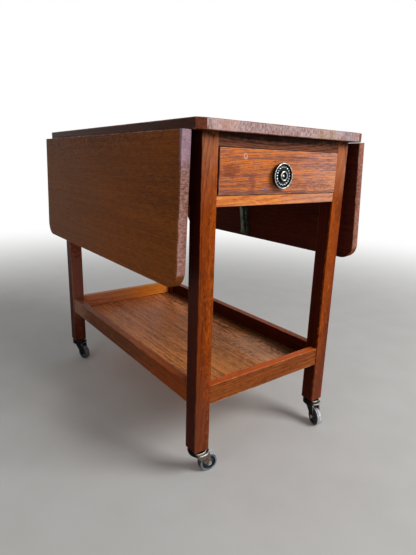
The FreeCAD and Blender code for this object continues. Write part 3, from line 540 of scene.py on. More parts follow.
def facing(tree, direction, start=0.5, full=0.85, both_ways=False):
    """1 on the faces that look along a direction of the piece, 0 on the others."""
    normal = add_node(tree, "ShaderNodeTexCoord", {}).outputs["Normal"]
    along = vector_step(tree, "DOT_PRODUCT", normal, direction)
    if both_ways:
        along = math_step(tree, "ABSOLUTE", along)
    return map_range(tree, along, start, full)


def painted_light_by_facing(tree, stains, sides):
    """Stains that are another pair on the faces that look some way: painted light and shade."""
    for direction, pale, dark, *limits in sides:
        stains = stain_pair(tree, facing(tree, direction, *limits), stains, (pale, dark))
    return stains


print("a change of stain strays over", DRIFT_RAG, "of a board's length")

# %% [markdown]
# Wood that is cut across shows rows of open pores in place of lines. Where staves meet there
# is a fine dark seam, and along sharp corners the stain has worn through in patches. These
# pale rims also paint the highlights that catch the arrises. A worn edge is often made from
# how pointed the mesh is there, but that changes with the mesh. The distance to the nearest
# edge of the box around the board doesn't.

# %% End grain, seams and worn edges
PORE_ROWS = (260.0, 0.0, 150.0)     # marks to the metre across, along and through the board
ROWS_SHARE, BROAD_SHARE = 0.65, 0.35
CUT_LEVELS = (0.32, 0.66)           # between which the cut wood goes from dark to pale
CUT_ACROSS = (0.945, 0.985)         # cosines between which a face is taken as cut across
SEAM_WIDTH = 0.0007                 # m
SEAM_COVER, SEAM_LIGHT = 0.55, 0.25
RIM_WIDTH = 0.0026                  # m, how far in from an edge the wear reaches
RUB_LEVELS = (0.42, 0.72)
LEAST_RUB = 0.15


def with_end_grain(board, coloured, pale, dark, lean):
    """Wood cut across: rows of open pores, paler towards one side as a painted highlight."""
    tree = board.tree
    squeezed = vector_step(tree, "MULTIPLY", board.in_tree, PORE_ROWS)
    rows = math_step(tree, "MULTIPLY", noise(tree, squeezed, marks=1.0, detail=4.0), ROWS_SHARE)
    broad = stretched_noise(tree, board.in_tree, across=34.0, along=0.0, shift=5.0)["Fac"]
    mixed = math_step(tree, "MULTIPLY_ADD", broad, BROAD_SHARE, rows)
    through = parts_of(tree, board.in_tree)["Z"]
    leaning = math_step(tree, "MULTIPLY_ADD", through, lean / extent(board, board.face), mixed)
    level = map_range(tree, leaning, *CUT_LEVELS)
    cut = blend_colour(tree, level, colour(*dark), colour(*pale))
    direction = [1.0 if axis == board.grain else 0.0 for axis in AXES]
    share = facing(tree, direction, *CUT_ACROSS, both_ways=True)
    return blend_colour(tree, share, coloured, cut)


def with_seams(board, coloured, staves, dark):
    """A dark line where two staves meet."""
    seam = math_step(board.tree, "PINGPONG", board.in_staves, 0.5)
    reach = SEAM_WIDTH / (extent(board, board.across) / staves)
    near = map_range(board.tree, seam, 0.0, reach, SEAM_COVER, 0.0)
    glue = [part * SEAM_LIGHT for part in colour(*dark)]
    return blend_colour(board.tree, near, coloured, glue)


def edge_distance(board):
    """Metres from a surface point to the nearest edge of the box around a board."""
    tree = board.tree
    middle = (board.low + board.high) / 2
    half = (board.high - board.low) / 2
    from_middle = vector_step(tree, "SUBTRACT", board.place, middle)
    gaps = parts_of(tree, vector_step(tree, "SUBTRACT", half,
                                      vector_step(tree, "ABSOLUTE", from_middle)))
    lesser = math_step(tree, "MINIMUM", gaps[0], gaps[1])
    greater = math_step(tree, "MAXIMUM", gaps[0], gaps[1])
    return math_step(tree, "MAXIMUM", lesser, math_step(tree, "MINIMUM", greater, gaps[2]))


def with_worn_and_highlit_edges(board, coloured, worn, wear):
    """Bare wood in patches along the edges, which also paints the highlights on the arrises."""
    tree = board.tree
    patches = noise(tree, board.place, marks=38.0, detail=4.0)
    rubbed = map_range(tree, patches, *RUB_LEVELS, LEAST_RUB, 1.0)
    rim = map_range(tree, edge_distance(board), 0.0, RIM_WIDTH, wear, 0.0)
    return blend_colour(tree, math_step(tree, "MULTIPLY", rim, rubbed), coloured, colour(*worn))


print("worn rims reach", RIM_WIDTH * 1000, "mm in; seams are", SEAM_WIDTH * 1000, "mm wide")

# %% [markdown]
# Old varnish is thin, so it is a little duller along some fibres, sinks into the pores and
# stands up on the late wood. A clear coat over the wood would shine evenly like new lacquer.
# Instead the fibre changes the roughness, and pores and late wood make a relief of a quarter
# of a millimetre.

# %% Varnish
FIBRE_LEVELS = (0.3, 0.7)
GLOSSIER, DULLER = 0.06, 0.10       # how far the fibre moves the roughness each way
LATE_WOOD_RISE = 0.35               # over the depth of a pore
RELIEF_DEPTH = 0.00025              # m


def raise_surface(tree, shader, height, strength, depth):
    """A relief on a surface, from a height between 0 and 1 and its depth in metres."""
    inputs = {"Height": height, "Strength": strength, "Distance": depth}
    bump = add_node(tree, "ShaderNodeBump", inputs)
    tree.links.new(bump.outputs["Normal"], shader.inputs["Normal"])


def varnish(tree, shader, wood, gloss, shine):
    """Roughness that follows the fibre, and sunken pores between raised late wood."""
    rough = map_range(tree, wood["Fibre"], *FIBRE_LEVELS, gloss - GLOSSIER, gloss + DULLER)
    tree.links.new(rough, shader.inputs["Roughness"])
    shader.inputs["Specular IOR Level"].default_value = shine
    raised = math_step(tree, "MULTIPLY", wood["Late wood"], LATE_WOOD_RISE)
    relief = math_step(tree, "MULTIPLY_ADD", wood["Pores"], -1.0, raised)
    raise_surface(tree, shader, relief, strength=0.55, depth=RELIEF_DEPTH)


print("the relief of the oak is at most", RELIEF_DEPTH * 1000, "mm deep")

# %% [markdown]
# One function now dresses a piece of oak. Its order follows the real work: the wood with its
# figure, the stain that goes deepest into open pores, the cut ends, the seams between
# staves, and last the wear of the edges and the varnish. A material could be copied and
# changed for each piece, but then a mend in one would have to be made thirty times.

# %% Oak for one piece
PORE_DEPTH = 0.72       # how far an open pore goes towards its own colour
PORE_LIGHT = (0.22, 0.22, 0.22)


def put_on(node, finish):
    """Fill every material slot of a solid with a finish."""
    mesh = solids[node].data
    if not mesh.materials:
        mesh.materials.append(finish)
    for place in range(len(mesh.materials)):
        mesh.materials[place] = finish


def oak(node, grain, face, pale, dark, heart=(0.0, 0.07), taper=0.012, tone=0.0, contrast=1.0,
        staves=1, stave_change=0.0, turn=None, wear=0.5, worn=(206, 140, 92), gloss=0.40,
        shine=0.04, far=None, sides=(), ends=None):
    """Stain and varnish one solid: grain runs along an axis, and face looks along another.

    heart is how far the tree's heart lies from the board's middle, across and through it.
    far says between which shares of the length another pair of stains takes over, and which.
    sides are directions, each with the pair of stains on the faces that look that way: painted
    light and shade by facing.
    ends are the pair of stains of wood cut across, and how much paler one side of it is: a
    painted highlight.
    """
    finish, tree, shader = start_finish("oak_" + node)
    board = board_of(tree, node, grain, face, turn)
    wood = figure_of(board, heart, taper, tone, contrast, staves, stave_change)
    stains = [colour(*pale), colour(*dark)]
    if far is not None:
        stains = drifted(board, stains, *far)
    pale_stain, dark_stain = painted_light_by_facing(tree, stains, sides)
    coloured = blend_colour(tree, wood["Paleness"], dark_stain, pale_stain)
    pore = blend_colour(tree, 1.0, dark_stain, PORE_LIGHT, "MULTIPLY")
    open_pores = math_step(tree, "MULTIPLY", wood["Pores"], PORE_DEPTH)
    coloured = blend_colour(tree, open_pores, coloured, pore)
    if ends is not None:
        coloured = with_end_grain(board, coloured, *ends)
    if staves > 1:
        coloured = with_seams(board, coloured, staves, dark)
    coloured = with_worn_and_highlit_edges(board, coloured, worn, wear)
    tree.links.new(coloured, shader.inputs["Base Color"])
    varnish(tree, shader, wood, gloss, shine)
    put_on(node, finish)


def oak_pieces():
    """How many pieces have an oak finish so far."""
    return sum(finish.name.startswith("oak_") for finish in bpy.data.materials)


print("pieces in oak so far:", oak_pieces())

# %% [markdown]
# The legs are one batch of timber: warm orange brown where light falls on them, nearly
# maroon in the dark bands. They could share one material, but then all four would show the
# same streaks. Their grain runs along their length, and their hearts lie far outside the
# thin pieces, so the rings show as long, nearly straight streaks. Near the top of a leg the
# varnish has gone greyer. The faces that look to the left are painted much darker, a
# painted shade for the light that they miss.

# %% Legs
FRAME_PALE = (160, 70, 15)
FRAME_DARK = (84, 30, 6)
LEG_TOP = (0.74, 0.98, (190, 118, 82), (112, 60, 40))
TO_LEFT, TO_RIGHT = (-1.0, 0.0, 0.0), (1.0, 0.0, 0.0)
TO_FLOOR, TO_CEILING = (0.0, 0.0, -1.0), (0.0, 0.0, 1.0)
TO_REAR = (0.0, 1.0, 0.0)
# painted shade: the faces that look to the left are stained much darker
SHADED_LEFT = ((TO_LEFT, (80, 24, 6), (34, 8, 2)),)
FRONT_LEGS = ("leg_front_left", "leg_front_right")
REAR_LEGS = ("leg_rear_left", "leg_rear_right")

for i, leg in enumerate(FRONT_LEGS + REAR_LEGS):
    oak(leg, "Z", "Y", FRAME_PALE, FRAME_DARK, heart=(0.05 - 0.04 * i, 0.16 + 0.02 * i),
        taper=0.006, tone=0.06 if leg in FRONT_LEGS else -0.14, contrast=1.2, far=LEG_TOP,
        sides=SHADED_LEFT, worn=(214, 120, 66))
print("pieces in oak so far:", oak_pieces())

# %% [markdown]
# The aprons and rails come from the same timber, but light, hands and feet have treated each
# one differently. The front rail of the shelf is worn pale along its edges, and its top is a
# brighter orange, partly painted light where it faces up. The rear one is painted pale on the
# side that faces the room, painted light where light from the front falls on it. Copies of
# one finish with a few changed colours would look like paint, so each rail also has a heart
# of its own.

# %% Aprons and rails
for apron in ("left_apron", "right_apron"):
    oak(apron, "Y", "X", FRAME_PALE, FRAME_DARK, heart=(0.02, 0.08), tone=-0.1, contrast=1.3,
        sides=SHADED_LEFT)
oak("rear_apron", "X", "Y", FRAME_PALE, FRAME_DARK, heart=(0.03, 0.06), tone=-0.1, contrast=1.3)
# painted shade: the outer face of the left rail, which looks left, is stained darker
oak("shelf_left_rail", "Y", "X", (168, 84, 34), (84, 38, 14), heart=(0.05, 0.09), contrast=1.4,
    sides=((TO_LEFT, (138, 74, 36), (58, 28, 12)),))
oak("shelf_right_rail", "Y", "X", (168, 84, 44), (84, 38, 20), heart=(0.02, 0.09), contrast=1.4,
    sides=SHADED_LEFT, worn=(196, 110, 70))
# painted light: all but the rear face are stained pale, more orange towards the right
oak("shelf_rear_rail", "X", "Y", (252, 170, 118), (206, 120, 86), heart=(0.02, 0.09),
    contrast=1.4, far=(0.25, 0.7, (255, 176, 66), (252, 128, 44)),
    sides=((TO_REAR, FRAME_PALE, FRAME_DARK),))
# partly painted light: the top face is stained a brighter orange
oak("shelf_front_rail", "X", "Y", (176, 94, 42), (84, 38, 14), heart=(0.05, 0.06),
    taper=0.02, contrast=1.4, worn=(224, 168, 134), wear=0.8,
    sides=((TO_CEILING, (236, 112, 40), (170, 70, 24)),))
oak("drawer_top_rail", "X", "Y", (152, 94, 68), (70, 38, 28), heart=(0.03, 0.09), tone=-0.05,
    contrast=1.5)
oak("drawer_bottom_rail", "X", "Y", (252, 162, 84), (206, 104, 52), heart=(0.03, 0.09),
    tone=0.12, contrast=1.8, far=(0.45, 0.9, (226, 158, 118), (176, 100, 66)))
print("pieces in oak so far:", oak_pieces())

# %% [markdown]
# The top is glued up from five staves that run front to back. Where it is cut across, the
# open pores are lilac grey, partly a painted sheen. Its underside and its left end are painted
# nearly black and dark as shade, and the sloping corner at the front on the left is painted
# a darker red than the end beside it, the shade of a face turned from the light. Towards the
# rear the top goes greyer, a painted sheen. A separate material on each of these faces would
# leave hard borders, so they are blended by the way a face looks.

# %% Top
TABLE_PALE = (148, 80, 26)
TABLE_DARK = (92, 47, 14)
# painted sheen: the top and the leaves turn greyer towards the rear
REAR_SHEEN = (0.15, 0.95, (134, 84, 54), (88, 55, 34))
# painted shade: the faces under the top and inside the leaves are nearly black
UNDERSIDE_SHADE = ((98, 38, 24), (46, 16, 12))
# painted shade: the sloping front corner on the left, turned from the light
TO_LEFT_CORNER = (-0.346, -0.938, 0.0)

# the lilac cut end is partly a painted sheen, and the left end is painted dark as shade
oak("top_board", "Y", "Z", TABLE_PALE, TABLE_DARK, heart=(0.0, 0.05), taper=0.014, staves=5,
    stave_change=0.16, worn=(226, 190, 178), wear=0.8, far=REAR_SHEEN, contrast=1.2,
    ends=((204, 184, 188), (146, 94, 66), 0.05),
    sides=((TO_LEFT, (104, 52, 38), (56, 26, 20)), (TO_FLOOR, *UNDERSIDE_SHADE),
           (TO_LEFT_CORNER, (138, 74, 52), (74, 36, 28), 0.95, 0.99)))
print("pieces in oak so far:", oak_pieces())

# %% [markdown]
# The two leaves match the top, with three staves each. They hang almost upright, so their
# own measure has to be turned back to level first, or the rings would run through them at
# the wrong slant. The figure could be turned by eye, but the hinge joints know the pin's
# place and how far the leaf swings, so the turn is worked out from them.


# %% Leaves
def raising(joint):
    """The turn that brings a hanging leaf level with the top."""
    pin = Matrix.Translation(joint["pos_m"])
    swing = Matrix.Rotation(math.radians(joint["range_deg"][1]), 4, joint["axis"])
    return pin @ swing @ pin.inverted()


# painted shade on the inner face, a painted lilac sheen on the cut ends that is paler towards the
# outer side, and a painted greyer sheen towards the rear
for side, to_inside, cut in (("left", TO_RIGHT, ((186, 146, 136), (126, 76, 64), 0.14)),
                             ("right", TO_LEFT, ((180, 126, 108), (124, 72, 56), 0.12))):
    turn = raising(joints[side + "_leaf_hinge"])
    oak(side + "_leaf", "Y", "Z", TABLE_PALE, TABLE_DARK, heart=(0.0, 0.05), taper=0.02,
        staves=3, stave_change=0.12, turn=turn, worn=(222, 176, 164), wear=0.7, gloss=0.6,
        shine=0.05, contrast=0.9, far=REAR_SHEEN, ends=cut, sides=((to_inside, *UNDERSIDE_SHADE),))
    print(side, "leaf, raised:", [round(v, 4) for v in spread(side + "_leaf", turn)[1]])

# %% [markdown]
# The shelf is the show surface of the lower tray, with a livelier, rosier figure. The drawer
# front is cut so that fine level lines cross it, and its edges in the gap are painted black,
# the painted shade of the gap. A dark line could be modelled round it, but the painted shade
# is only skin deep. Inside, drawers are lined with plainer, unstained wood, and what carries
# them is unstained too.

# %% Shelf and drawer
LINING = dict(pale=(208, 168, 118), dark=(150, 108, 66), gloss=0.6)
CARCASS = dict(pale=(182, 136, 88), dark=(120, 80, 46), gloss=0.65)
# painted shade: the edges of the drawer front in the gap are stained near black
GAP_SHADE = ((52, 24, 14), (26, 12, 8))

oak("shelf_panel", "Y", "Z", (222, 138, 70), (94, 46, 18), heart=(0.02, 0.05), taper=0.02,
    staves=2, stave_change=0.08, contrast=2.4, gloss=0.36, shine=0.06,
    far=(0.30, 0.9, (255, 160, 98), (152, 78, 48)))
oak("drawer_front", "X", "Y", (222, 122, 48), (130, 78, 68), heart=(0.085, 0.06),
    taper=0.03, contrast=3.0, wear=0.9, worn=(236, 190, 172), shine=0.2,
    far=(0.4, 1.0, (228, 150, 102), (136, 92, 84)),
    sides=[(way, *GAP_SHADE) for way in (TO_RIGHT, TO_LEFT, TO_CEILING, TO_FLOOR)])
for piece, grain, face, plain in (("left_drawer_side", "Y", "X", LINING),
                                  ("right_drawer_side", "Y", "X", LINING),
                                  ("drawer_back", "X", "Y", LINING),
                                  ("drawer_bottom", "X", "Z", LINING),
                                  ("left_drawer_runner", "Y", "X", CARCASS),
                                  ("right_drawer_runner", "Y", "X", CARCASS),
                                  ("left_drawer_kicker", "Y", "X", CARCASS),
                                  ("right_drawer_kicker", "Y", "X", CARCASS),
                                  ("drawer_stops", "Y", "X", CARCASS)):
    oak(piece, grain, face, contrast=0.7, wear=0.1, shine=0.2, **plain)
print("pieces in oak:", oak_pieces())

# %% [markdown]
# Years of use leave marks that no wood figure makes. They could be painted on an image, but
# here each one is a soft patch with a ragged edge, blended over whatever colour the wood has
# there, so marks can be added one by one without rebuilding the finish. A patch reaches so
# far along each axis. An axis with no reach is left out of the measure, so the mark runs on
# through the piece, and a very short reach keeps it on the one face that it starts from.

# %% A ragged patch
PATCH_MARKS = 90.0      # ragged marks to the metre
RAG_SIZE = 1.6          # how far the rag moves the edge, over the reach
SOLID_WITHIN, NOTHING_BEYOND = 0.4, 1.0
RING_RIM = (-0.15, 0.1) # how far inside and outside the hollow a ring fades in
SKIN = 0.006            # m, a reach that stays on one face

marked = []             # the piece under each patch, in order


def patch_on(node, centre, reach, strength):
    """A ragged patch on a piece: tree, place, share of cover, and distance in reaches."""
    marked.append(node)
    tree = solids[node].data.materials[0].node_tree
    place = place_on_piece(tree)
    from_centre = vector_step(tree, "SUBTRACT", place, centre)
    scale = [1 / length if length else 0.0 for length in reach]
    distance = vector_step(tree, "LENGTH", vector_step(tree, "MULTIPLY", from_centre, scale))
    evened = math_step(tree, "SUBTRACT", distance, RAG_SIZE / 2)
    rag = noise(tree, place, PATCH_MARKS, detail=5.0)
    ragged = math_step(tree, "MULTIPLY_ADD", rag, RAG_SIZE, evened)
    share = map_range(tree, ragged, SOLID_WITHIN, NOTHING_BEYOND, strength, 0.0)
    return tree, place, share, ragged


def tint_over(tree, share, tint):
    """Blend a colour over what the finish has so far."""
    socket = tree.nodes["Principled BSDF"].inputs["Base Color"]
    so_far = socket.links[0].from_socket
    tree.links.new(blend_colour(tree, share, so_far, colour(*tint)), socket)


def blot(node, centre, reach, tint, strength):
    """A ragged patch of one colour."""
    tree, _, share, _ = patch_on(node, centre, reach, strength)
    tint_over(tree, share, tint)


def plug_ring(node, centre, reach, tint, strength, hollow):
    """A ragged ring: a patch whose middle, so large a share of its reach, stays bare."""
    tree, _, share, ragged = patch_on(node, centre, reach, strength)
    outside = map_range(tree, ragged, *[hollow + step for step in RING_RIM])
    tint_over(tree, math_step(tree, "MULTIPLY", share, outside), tint)


print("a patch covers fully within", SOLID_WITHIN, "of its reach")

# %% [markdown]
# The drawer front has a small round plug where something was once screwed on, two dark red
# blots and a bluish spot. A black band is painted where the top overhangs the rail and the
# legs, the painted shadow of the overhang. Small discs of another material would do for the
# plug, but it lies flush, so only the colour of its rim tells.

# %% Marks on the drawer front, and painted shadow under the overhang
LOW, HIGH = 0, 1        # a box's corners, and the sides of a piece
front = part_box("drawer_front")[LOW][1]
long_red = (-0.1412, 0.6242, (0.034, 0.0, 0.014), (112, 42, 26), 0.62)
upright_red = (-0.0884, 0.6049, (0.012, 0.0, 0.028), (122, 60, 60), 0.55)
bluish = (-0.0552, 0.5917, (0.005, 0.0, 0.004), (96, 104, 140), 0.7)
for across, height, reach, tint, strength in (long_red, upright_red, bluish):
    blot("drawer_front", (across, front, height), reach, tint, strength)
plug_ring("drawer_front", (-0.1081, front, 0.6511), (0.0062, 0.0, 0.0056), (236, 204, 198),
          0.85, hollow=0.45)
# painted shadow: a black band just under the overhanging top
for piece in ("drawer_top_rail", *FRONT_LEGS):
    low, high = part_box(piece)
    overhang_shadow_line = ((low[0] + high[0]) / 2, low[1], high[2])
    blot(piece, overhang_shadow_line, (high[0] - low[0], 0.0, 0.013), (22, 11, 8), 0.85)
print("marks so far:", len(marked))

# %% [markdown]
# The shelf has a pale patch near the front on the right, a painted reflection, and a painted
# shadow lies in the crease along each of its rails, widest along the right one. Ambient
# occlusion could find the creases, but it would darken all of them alike. So a long dark
# patch is laid along each rail, as wide as its shadow.

# %% Marks on the shelf
# painted reflection: a pale patch near the front on the right
blot("shelf_panel", (0.105, -0.23, 0.0), (0.075, 0.17, 0.0), (250, 190, 150), 0.45)
# painted shadow in the crease along each rail
for rail, inner_side, axis, width in (("shelf_rear_rail", LOW, 1, 0.006),
                                      ("shelf_front_rail", HIGH, 1, 0.006),
                                      ("shelf_left_rail", HIGH, 0, 0.006),
                                      ("shelf_right_rail", LOW, 0, 0.065)):
    foot, reach = [0.0, 0.0, 0.0], [0.0, 0.0, 0.0]
    foot[axis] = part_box(rail)[inner_side][axis]
    reach[axis] = width
    blot("shelf_panel", foot, reach, (30, 12, 6), 0.72)
low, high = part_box("shelf_left_rail")
# painted sheen: a greyer patch on the left rail towards the rear
blot("shelf_left_rail", (low[0], high[1], low[2]), (0.012, 0.15, 0.0), (176, 136, 116), 0.4)
blot("shelf_left_rail", (low[0], low[1], low[2]), (0.012, 0.24, 0.0), (150, 60, 6), 0.5)
print("marks so far:", len(marked))

# %% [markdown]
# Legs wear from below. The front ones are browner half way down and greyer at the foot, and
# the inner half of each has been rubbed paler. The rear one on the left is dusty pink in the
# middle and painted almost black below, a painted shade. All of this lies on the front faces
# only. A gradient from top to bottom would be the plain way, but it would run round all four
# sides.

# %% Marks on the legs
for leg, inner_side in zip(FRONT_LEGS, (HIGH, LOW)):
    low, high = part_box(leg)
    blot(leg, (low[0], low[1], 0.33), (0.0, SKIN, 0.25), (88, 34, 10), 0.36)
    blot(leg, (low[0], low[1], low[2]), (0.0, SKIN, 0.22), (104, 58, 42), 0.55)
    blot(leg, ((low, high)[inner_side][0], low[1], 0.42), (0.028, SKIN, 0.33), (176, 78, 12), 0.28)
low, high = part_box("leg_rear_left")
blot("leg_rear_left", (low[0], low[1], 0.25), (0.0, SKIN, 0.16), (150, 96, 84), 0.65)
# painted shade: the rear left leg almost black low down
blot("leg_rear_left", (low[0], low[1], 0.09), (0.0, SKIN, 0.08), (64, 34, 24), 0.6)
print("marks so far:", len(marked))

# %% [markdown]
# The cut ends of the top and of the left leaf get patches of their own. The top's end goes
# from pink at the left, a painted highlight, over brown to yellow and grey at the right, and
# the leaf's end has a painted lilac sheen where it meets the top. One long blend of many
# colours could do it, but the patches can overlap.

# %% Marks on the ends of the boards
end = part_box("top_board")[LOW][1]
# the pink patch at the left of the top's end is a painted highlight
for across, width, tint, strength in ((-0.17, 0.04, (240, 188, 172), 0.3),
                                      (-0.05, 0.08, (136, 90, 74), 0.12),
                                      (0.09, 0.055, (192, 160, 122), 0.28),
                                      (0.16, 0.025, (140, 138, 150), 0.3)):
    blot("top_board", (across, end, 0.7), (width, SKIN, 0.0), tint, strength)
low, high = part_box("left_leaf")
blot("left_leaf", (high[0], low[1], 0.41), (0.0, 0.007, 0.30), (150, 86, 62), 0.16)
# painted lilac sheen where the leaf's end meets the top
blot("left_leaf", (high[0], low[1], 0.68), (0.0, 0.007, 0.07), (170, 150, 178), 0.45)
print("marks:", {piece: marked.count(piece) for piece in sorted(set(marked))})

# %% [markdown]
# Oak that is sawn towards the heart shows its rays as short flecks across the grain lines.
# On the legs they catch the light as golden dashes. Each fleck could be drawn as a small
# shape, but there are hundreds. A stretched and twisted noise inside a ragged patch gives
# them all at once, so many to the metre along each axis.

# %% Ray flecks, on the front legs
FLECK_TWIST = 1.3
FLECK_FROM, FLECK_FULL = 0.50, 0.60     # the noise's levels where a fleck starts and is whole

flecked = []


def flecks(node, centre, reach, marks, tint, strength):
    """Wavy dashes inside a patch; marks are how many come to the metre along each axis."""
    flecked.append(node)
    tree, place, share, _ = patch_on(node, centre, reach, strength)
    inputs = {"Vector": vector_step(tree, "MULTIPLY", place, marks), "Scale": 1.0, "Detail": 2.0,
              "Distortion": FLECK_TWIST}
    dashes = add_node(tree, "ShaderNodeTexNoise", inputs).outputs["Fac"]
    shown = map_range(tree, dashes, FLECK_FROM, FLECK_FULL)
    tint_over(tree, math_step(tree, "MULTIPLY", share, shown), tint)


for leg, inner_side in zip(FRONT_LEGS, (HIGH, LOW)):
    low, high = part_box(leg)
    flecks(leg, ((low, high)[inner_side][0], low[1], 0.42), (0.032, SKIN, 0.45),
           (330.0, 330.0, 75.0), (204, 100, 22), 0.42)
print("flecked pieces:", sorted(set(flecked)))

# %% [markdown]
# On the leaves the flecks took up more stain and lie as dark wavy dashes, thick along the
# hinge towards the rear and finer near the front. A fainter, wider patch of them covers the
# whole face. On the drawer front and the rail below it they are lilac and dark brown. One
# strength all over would look printed, so each board gets a few patches of its own.

# %% Ray flecks, on the leaves and the drawer
for side in ("left", "right"):
    leaf = side + "_leaf"
    outer = joints[leaf + "_hinge"]["pos_m"][0]
    flecks(leaf, (outer, 0.12, 0.672), (0.0, 0.30, 0.045), (150.0, 110.0, 240.0),
           (56, 32, 22), 0.75)
    flecks(leaf, (outer, -0.10, 0.684), (0.0, 0.30, 0.022), (150.0, 90.0, 300.0),
           (60, 30, 16), 0.7)
    flecks(leaf, (outer, -0.30, 0.590), (0.0, 0.13, 0.065), (150.0, 40.0, 420.0),
           (62, 32, 14), 0.6)
    flecks(leaf, (outer, 0.0, 0.560), (0.0, 0.60, 0.24), (150.0, 70.0, 340.0),
           (78, 40, 16), 0.35)
_, rail_front, rail_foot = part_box("drawer_bottom_rail")[LOW]
flecks("drawer_bottom_rail", (0.075, rail_front, rail_foot), (0.10, 0.0, 0.04),
       (110.0, 60.0, 360.0), (168, 132, 150), 0.55)
flecks("drawer_bottom_rail", (-0.10, rail_front, rail_foot), (0.12, 0.0, 0.008),
       (150.0, 60.0, 360.0), (150, 92, 110), 0.5)
for across, height, reach, marks, tint, strength in (
        (0.095, 0.635, (0.09, 0.0, 0.06), (100.0, 60.0, 420.0), (158, 118, 142), 0.4),
        (0.085, 0.597, (0.07, 0.0, 0.022), (150.0, 60.0, 380.0), (112, 44, 18), 0.5),
        (-0.13, 0.625, (0.08, 0.0, 0.05), (170.0, 60.0, 420.0), (116, 46, 18), 0.4)):
    flecks("drawer_front", (across, front, height), reach, marks, tint, strength)
print("flecked pieces:", sorted(set(flecked)))

# %% [markdown]
# Old metal is never one even tone. It darkens where fingers don't reach and brightens where
# they do, and it takes on small scratches. A bought metal library would give clean, new
# surfaces. One function makes the plain metals here: a base metal, a tarnish that gathers in
# patches, and how strongly each shows. The scratches are a function of their own, because
# every other metal and the wheels use them too.

# %% Plain metals
SCRATCH_MARKS = 900.0               # to the metre
GRIT_LEVELS = (0.3, 0.7)
SMOOTHER, ROUGHER = 0.08, 0.14      # how far the grit moves the roughness each way
TARNISH_DULLS = 0.16                # by how much full tarnish is rougher
TARNISH_LEVELS = (0.62, 0.82)       # for no cover; half the cover comes off both


def scratched(tree, shader, place, share, rough, depth=0.0001):
    """Roughness and relief of a worn surface: duller where share is high."""
    grit = noise(tree, place, SCRATCH_MARKS, detail=3.0)
    worn = map_range(tree, grit, *GRIT_LEVELS, rough - SMOOTHER, rough + ROUGHER)
    tree.links.new(math_step(tree, "MULTIPLY_ADD", share, TARNISH_DULLS, worn),
                   shader.inputs["Roughness"])
    raise_surface(tree, shader, grit, strength=0.25, depth=depth)


def metal(name, bright, tarnish, rough=0.38, patch_marks=60.0, cover=0.5):
    """A metal with tarnish in patches and a fine scratch pattern in its roughness."""
    finish, tree, shader = start_finish(name)
    place = place_on_piece(tree)
    patches = noise(tree, place, patch_marks, detail=5.0)
    share = map_range(tree, patches, *[level - cover / 2 for level in TARNISH_LEVELS])
    tree.links.new(blend_colour(tree, share, colour(*bright), colour(*tarnish)),
                   shader.inputs["Base Color"])
    shader.inputs["Metallic"].default_value = 1.0
    scratched(tree, shader, place, share, rough)
    return finish


brass = metal("old_brass", (170, 140, 84), (74, 58, 38))
steel = metal("stay_steel", (110, 114, 100), (76, 76, 66), cover=0.4)
screw_steel = metal("screw_steel", (120, 108, 84), (62, 50, 38), patch_marks=300.0)
axle_steel = metal("axle_steel", (212, 212, 210), (130, 128, 124), rough=0.25, cover=0.2)

for side in ("left_", "right_"):
    for piece in ("hinge_top_flaps", "hinge_leaf_flaps", "hinge_pins"):
        put_on(side + piece, brass)
    for piece in ("stay_track", "stay_arm", "stay_bracket", "stay_rivet"):
        put_on(side + piece, steel)
for piece in ("left_leaf_screws", "right_leaf_screws", "metalwork_screws", "top_screws",
              "knob_bolt"):
    put_on(piece, screw_steel)
print("plain metals:", [finish.name for finish in (brass, steel, screw_steel, axle_steel)])

# %% [markdown]
# The knob is a cast rosette: a rounded rim, a ring of beads in a recess, and a boss with a
# cup and a small dome. Fingers have polished all that stands up to silver grey, while the
# hollows are filled with black. Grime could be painted on by hand, but the knob's own shape
# says where it gathers. So the height above the drawer front is measured, and the level that
# counts as high changes with the distance from the knob's axis: it is lower among the beads
# and in the cup than on the rim and the boss.

# %% Knob
POLISHED_ABOVE = ((0.0, 0.76), (0.16, 0.94), (0.48, 0.70), (0.84, 0.84))   # cup to rim
POLISH_RIM = (-0.03, 0.05)      # how far below and above that the polish fades
PATCH_LEVELS = (0.38, 0.60)
LEAST_POLISH = 0.22

knob_low, knob_high = spread("drawer_knob")
knob_foot = Vector(((knob_low.x + knob_high.x) / 2, knob_high.y, (knob_low.z + knob_high.z) / 2))
knob_reach = knob_high.y - knob_low.y
knob_radius = (knob_high.x - knob_low.x) / 2

pewter, tree, shader = start_finish("worn_pewter")
place = place_on_piece(tree)
from_foot = vector_step(tree, "SUBTRACT", place, knob_foot)
height = math_step(tree, "DIVIDE", parts_of(tree, from_foot)["Y"], -knob_reach)
from_axis = vector_step(tree, "LENGTH", vector_step(tree, "MULTIPLY", from_foot, (1.0, 0.0, 1.0)))
crest = grey_ramp(tree, math_step(tree, "DIVIDE", from_axis, knob_radius), POLISHED_ABOVE,
                  between="CONSTANT")
above = map_range(tree, math_step(tree, "SUBTRACT", height, crest), *POLISH_RIM)
patches = noise(tree, place, marks=330.0, detail=3.0)
polish = math_step(tree, "MULTIPLY", above,
                   map_range(tree, patches, *PATCH_LEVELS, LEAST_POLISH, 1.0))
tree.links.new(blend_colour(tree, polish, colour(40, 43, 41), colour(222, 225, 224)),
               shader.inputs["Base Color"])
shader.inputs["Metallic"].default_value = 1.0
scratched(tree, shader, place, math_step(tree, "SUBTRACT", 1.0, polish), rough=0.30)
put_on("drawer_knob", pewter)
print("knob:", round(knob_radius, 4), "radius,", round(knob_reach, 4), "reach")

# %% [markdown]
# A castor is mostly grease and road dirt, with three bright places: the race on which it
# turns, the rim of the fork's crown, and the axle. They could be given materials face by
# face, but their heights above the floor already tell them apart from the dark plate and
# the bronzed cheeks, so the metal of the sockets and forks is chosen by height. The side
# turned away from the light is painted near black, a painted shade.

